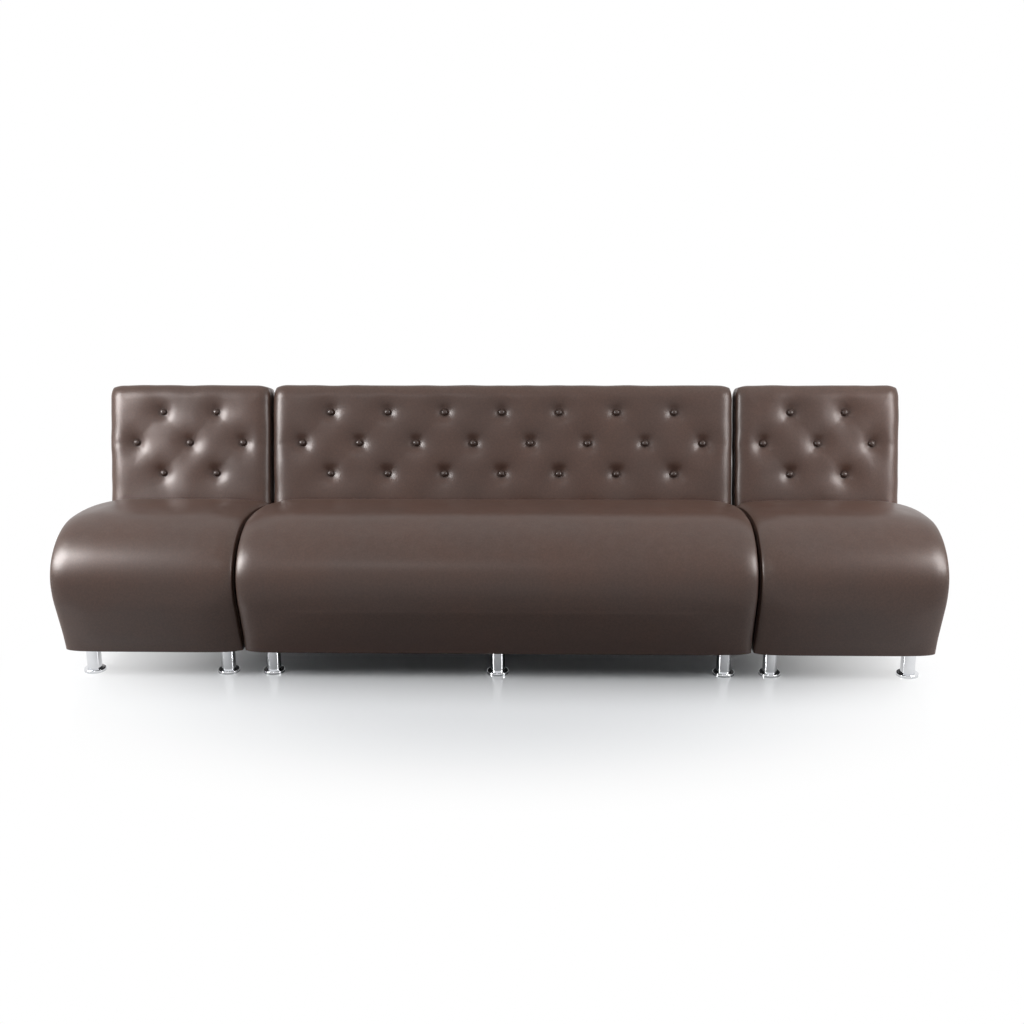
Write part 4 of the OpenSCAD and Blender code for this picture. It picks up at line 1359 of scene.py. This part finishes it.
def strap_form():
    across = [(-WEB_W / 2, 0.5), (-WEB_W / 2 + 0.0006, 0.12), (-WEB_W / 2 + 0.002, 0.0)]
    across += [(x, 0.0) for x in np.linspace(-WEB_FLAT, WEB_FLAT, 5)]
    across += [(-x, z) for x, z in reversed(across[:3])]
    across += [(x, 1 - z) for x, z in reversed(across[1:-1])]
    rings = []
    for i, y in enumerate(np.linspace(NOSE_Y, plane_y(WEB_H) - BACK_SKIN, RIB_LINES)):
        rib = RIB_DEPTH * (i % 2)
        rings.append([(x, y, z * (WEB_T - 2 * rib) + rib) for x, z in across])
    return hidden_form(lofted("strap_form", rings))


STRAP = strap_form()
for side, section in SECTIONS.items():
    n, width = STRAPS * section["seats"], 2 * hollow_half(side)
    spots = [(section["x"] + width * ((i + 0.5) / n - 0.5), JUNCTION_Y, WEB_H) for i in range(n)]
    straps = set_down(f"{side}_webbing_straps", spots, UP, Form=STRAP, Finish=webbing_finish)
    on_row(straps, "webbing", f"{side}_seat_webbing")

# %% [markdown]
# ## Base cloth, staples and screws
# A thin black cloth closes each seat from below. It is cut out round the leg plates, stapled
# along its front and rear edges, and hangs down a little between them. Its grid has a line on
# every edge of a hole, so cells are simply left out there.


# %% Legs and grid lines
PLATE_W, FRONT_LEG_INSET, REAR_LEG_INSET, CLOTH_CELL = 0.076, 0.006, 0.005, 0.015
LEGS = {"left": (2, 0.007), "centre": (3, 0.018), "right": (2, 0.007)}


def leg_places(side):
    """Middles of the leg plates: a front and a rear row of n legs, inset from the frame."""
    n, inset = LEGS[side]
    reach = hollow_half(side) - PLATE_W / 2 - inset
    rows = (BOARD_TOE + FRONT_LEG_INSET + PLATE_W / 2, BOX_IN - REAR_LEG_INSET - PLATE_W / 2)
    return [(reach * (2 * i / (n - 1) - 1), y) for y in rows for i in range(n)]


def with_edges(low, high, edges):
    """Even grid lines from low to high, with a line exactly on every edge."""
    stops = sorted({low, high, *[e for e in edges if low < e < high]})
    lines = [x for a, b in zip(stops, stops[1:]) for x in lines_between(a, b, CLOTH_CELL)]
    return lines + [high]


print("legs", {side: 2 * n for side, (n, _) in LEGS.items()})


# %% Base cloth pieces
CLOTH_T, CLOTH_LOW = 0.0008, 0.0001
CLOTH_SAG, SAG_RUN, RIPPLE, RIPPLE_RUN, RIPPLE_FROM = 0.0022, 0.05, 0.0004, 0.03, 0.02


def cloth_z(x, y, edge, hole_edge):
    """How low the cloth hangs: a slow sag between its edges, with a faint ripple."""
    sag = CLOTH_SAG * math.tanh(min(edge, hole_edge) / SAG_RUN) * (0.8 + 0.2 * math.sin(y * 40))
    ripple = RIPPLE * math.sin(x * 95 + 2 * math.sin(y * 31)) * math.tanh(edge / RIPPLE_RUN)
    return SOLE_Z - CLOTH_LOW - sag - ripple * (edge > RIPPLE_FROM)


def base_cloth(side):
    """The cloth, its flat length and width, and its flat area without the holes."""
    half, hole = hollow_half(side) - HAIR, PLATE_W / 2 + SOFT_GAP
    front, rear = toe_y(SEAT_BOTTOM, SEAT_WADDING) + SOFT_GAP, BOX_IN - HAIR
    legs = leg_places(side)
    xs, ys = (with_edges(low, high, [leg[k] + d for leg in legs for d in (-hole, hole)])
              for k, low, high in ((0, -half, half), (1, front, rear)))
    used, points, faces, area = {}, [], [], 0.0

    def corner(k, m):
        if (k, m) not in used:
            x, y = xs[k], ys[m]
            used[k, m] = len(points)
            hole_edge = min(max(abs(x - a), abs(y - b)) - hole for a, b in legs)
            edge = min(half - abs(x), y - front, rear - y)
            points.append((x, y, cloth_z(x, y, edge, hole_edge)))
        return used[k, m]

    for j in range(len(ys) - 1):
        for i in range(len(xs) - 1):
            x, y = (xs[i] + xs[i + 1]) / 2, (ys[j] + ys[j + 1]) / 2
            if not any(abs(x - a) < hole and abs(y - b) < hole for a, b in legs):
                faces.append((corner(i, j), corner(i + 1, j), corner(i + 1, j + 1),
                              corner(i, j + 1)))
                area += (xs[i + 1] - xs[i]) * (ys[j + 1] - ys[j])
    cloth = mesh_object(f"{side}_base_cloth_sheet", points, faces)
    thick = cloth.modifiers.new("thick", "SOLIDIFY")
    thick.thickness, thick.offset = CLOTH_T, 0.0
    settled(cloth)
    set_coords(cloth.data, coords(cloth.data) + row_place(side, -CLOTH_T / 2))
    on_row(finished_in(cloth, lining), "base_cloth", f"{side}_base_cloth")
    return cloth, (2 * half, rear - front), area


SHEETS = {side: base_cloth(side) for side in SECTIONS}
for side, (cloth, flat, area) in SHEETS.items():
    print(side, "cloth", [round(v, 3) for v in flat], "m flat,", round(area, 3), "square metres")

# %% Staples
STAPLE_W, STAPLE_WIRE, STAPLE_LEG, STAPLE_PITCH = 0.010, 0.0010, 0.003, 0.045
STAPLE_INSET, CORNER_FREE, PLATE_FREE, STAPLE_SUNK = 0.009, 0.02, 0.006, 0.001
DOWN = (0.0, 0.0, -1.0)


def staple_form():
    """A crown and two legs, each a box from one corner (x, z) to the other."""
    w, t, low = STAPLE_W / 2, STAPLE_WIRE, -STAPLE_LEG
    points, faces = [], []
    for x0, z0, x1, z1 in ((-w, 0, w, t), (-w, low, -w + t, 0), (w - t, low, w, 0)):
        k = len(points)
        points += [(x, y, z) for z in (z0, z1)
                   for x, y in ((x0, -t / 2), (x1, -t / 2), (x1, t / 2), (x0, t / 2))]
        faces += [(k, k + 3, k + 2, k + 1), (k + 4, k + 5, k + 6, k + 7)]
        faces += [(k + i, k + (i + 1) % 4, k + 4 + (i + 1) % 4, k + 4 + i) for i in range(4)]
    return hidden_form(mesh_object("staple_form", points, faces, smooth=False))


def staple_places(side):
    """Places along the front and rear edges, none of them on a leg plate."""
    reach = hollow_half(side) - STAPLE_INSET - CORNER_FREE
    front, rear = toe_y(SEAT_BOTTOM, SEAT_WADDING) + STAPLE_INSET, BOX_IN - STAPLE_INSET
    spots = [(x, y) for y in (front, rear) for x in lines_between(-reach, reach, STAPLE_PITCH)]
    return [(x + SECTIONS[side]["x"], y + JUNCTION_Y, SOLE_Z - STAPLE_SUNK) for x, y in spots
            if min(max(abs(x - a), abs(y - b)) for a, b in leg_places(side))
            > PLATE_W / 2 + PLATE_FREE]


STAPLE = staple_form()
for side in SECTIONS:
    staples = set_down(f"{side}_staples", staple_places(side), DOWN, Form=STAPLE, Turn=0.35,
                       Seed=5, Finish=zinc)
    on_row(staples, "zinc_steel")

# %% Screws of the leg plates
SCREW_HEAD_D, SCREW_HEAD_T, SCREW_D, SCREW_L = 0.008, 0.0025, 0.004, 0.025
SCREW_REACH, SCREW_SUNK, TIP_R, SOCKET_R, SOCKET_D = 0.030, 0.003, 0.0008, 0.0012, 0.0014


def screw_form():
    """A head with a six-sided socket, and a shank that ends in a tip."""
    r, t, s = SCREW_HEAD_D / 2, SCREW_HEAD_T, SCREW_D / 2
    socket = [(0, t - SOCKET_D), (SOCKET_R, t - SOCKET_D), (SOCKET_R + 0.0002, t - 0.0001)]
    head = [(0.0020, t), (r * 0.75, t * 0.86), (r, t * 0.45), (r, 0.0)]
    shank = [(s, 0.0), (s, -SCREW_L + 0.005), (TIP_R, -SCREW_L + 0.0008), (0, -SCREW_L)]
    return hidden_form(turned_form(
        "screw_form", socket + head + shank, 12,
        lambda q, a: 1 + (0.25 * math.cos(6 * a) if q < 0.0015 and q != TIP_R else 0.0)))


spots = [(section["x"] + x + i * SCREW_REACH, JUNCTION_Y + y + j * SCREW_REACH,
          SOLE_Z - SCREW_SUNK) for side, section in SECTIONS.items()
         for x, y in leg_places(side) for i in (-1, 1) for j in (-1, 1)]
screws = set_down("leg_plate_screws", spots, DOWN, Form=screw_form(), Turn=ANY_TURN, Seed=3,
                  Finish=zinc)
on_row(screws, "zinc_steel", "leg_screws")

# %% Sheets
print("sheets", [cloth.name for cloth, _, _ in SHEETS.values()])
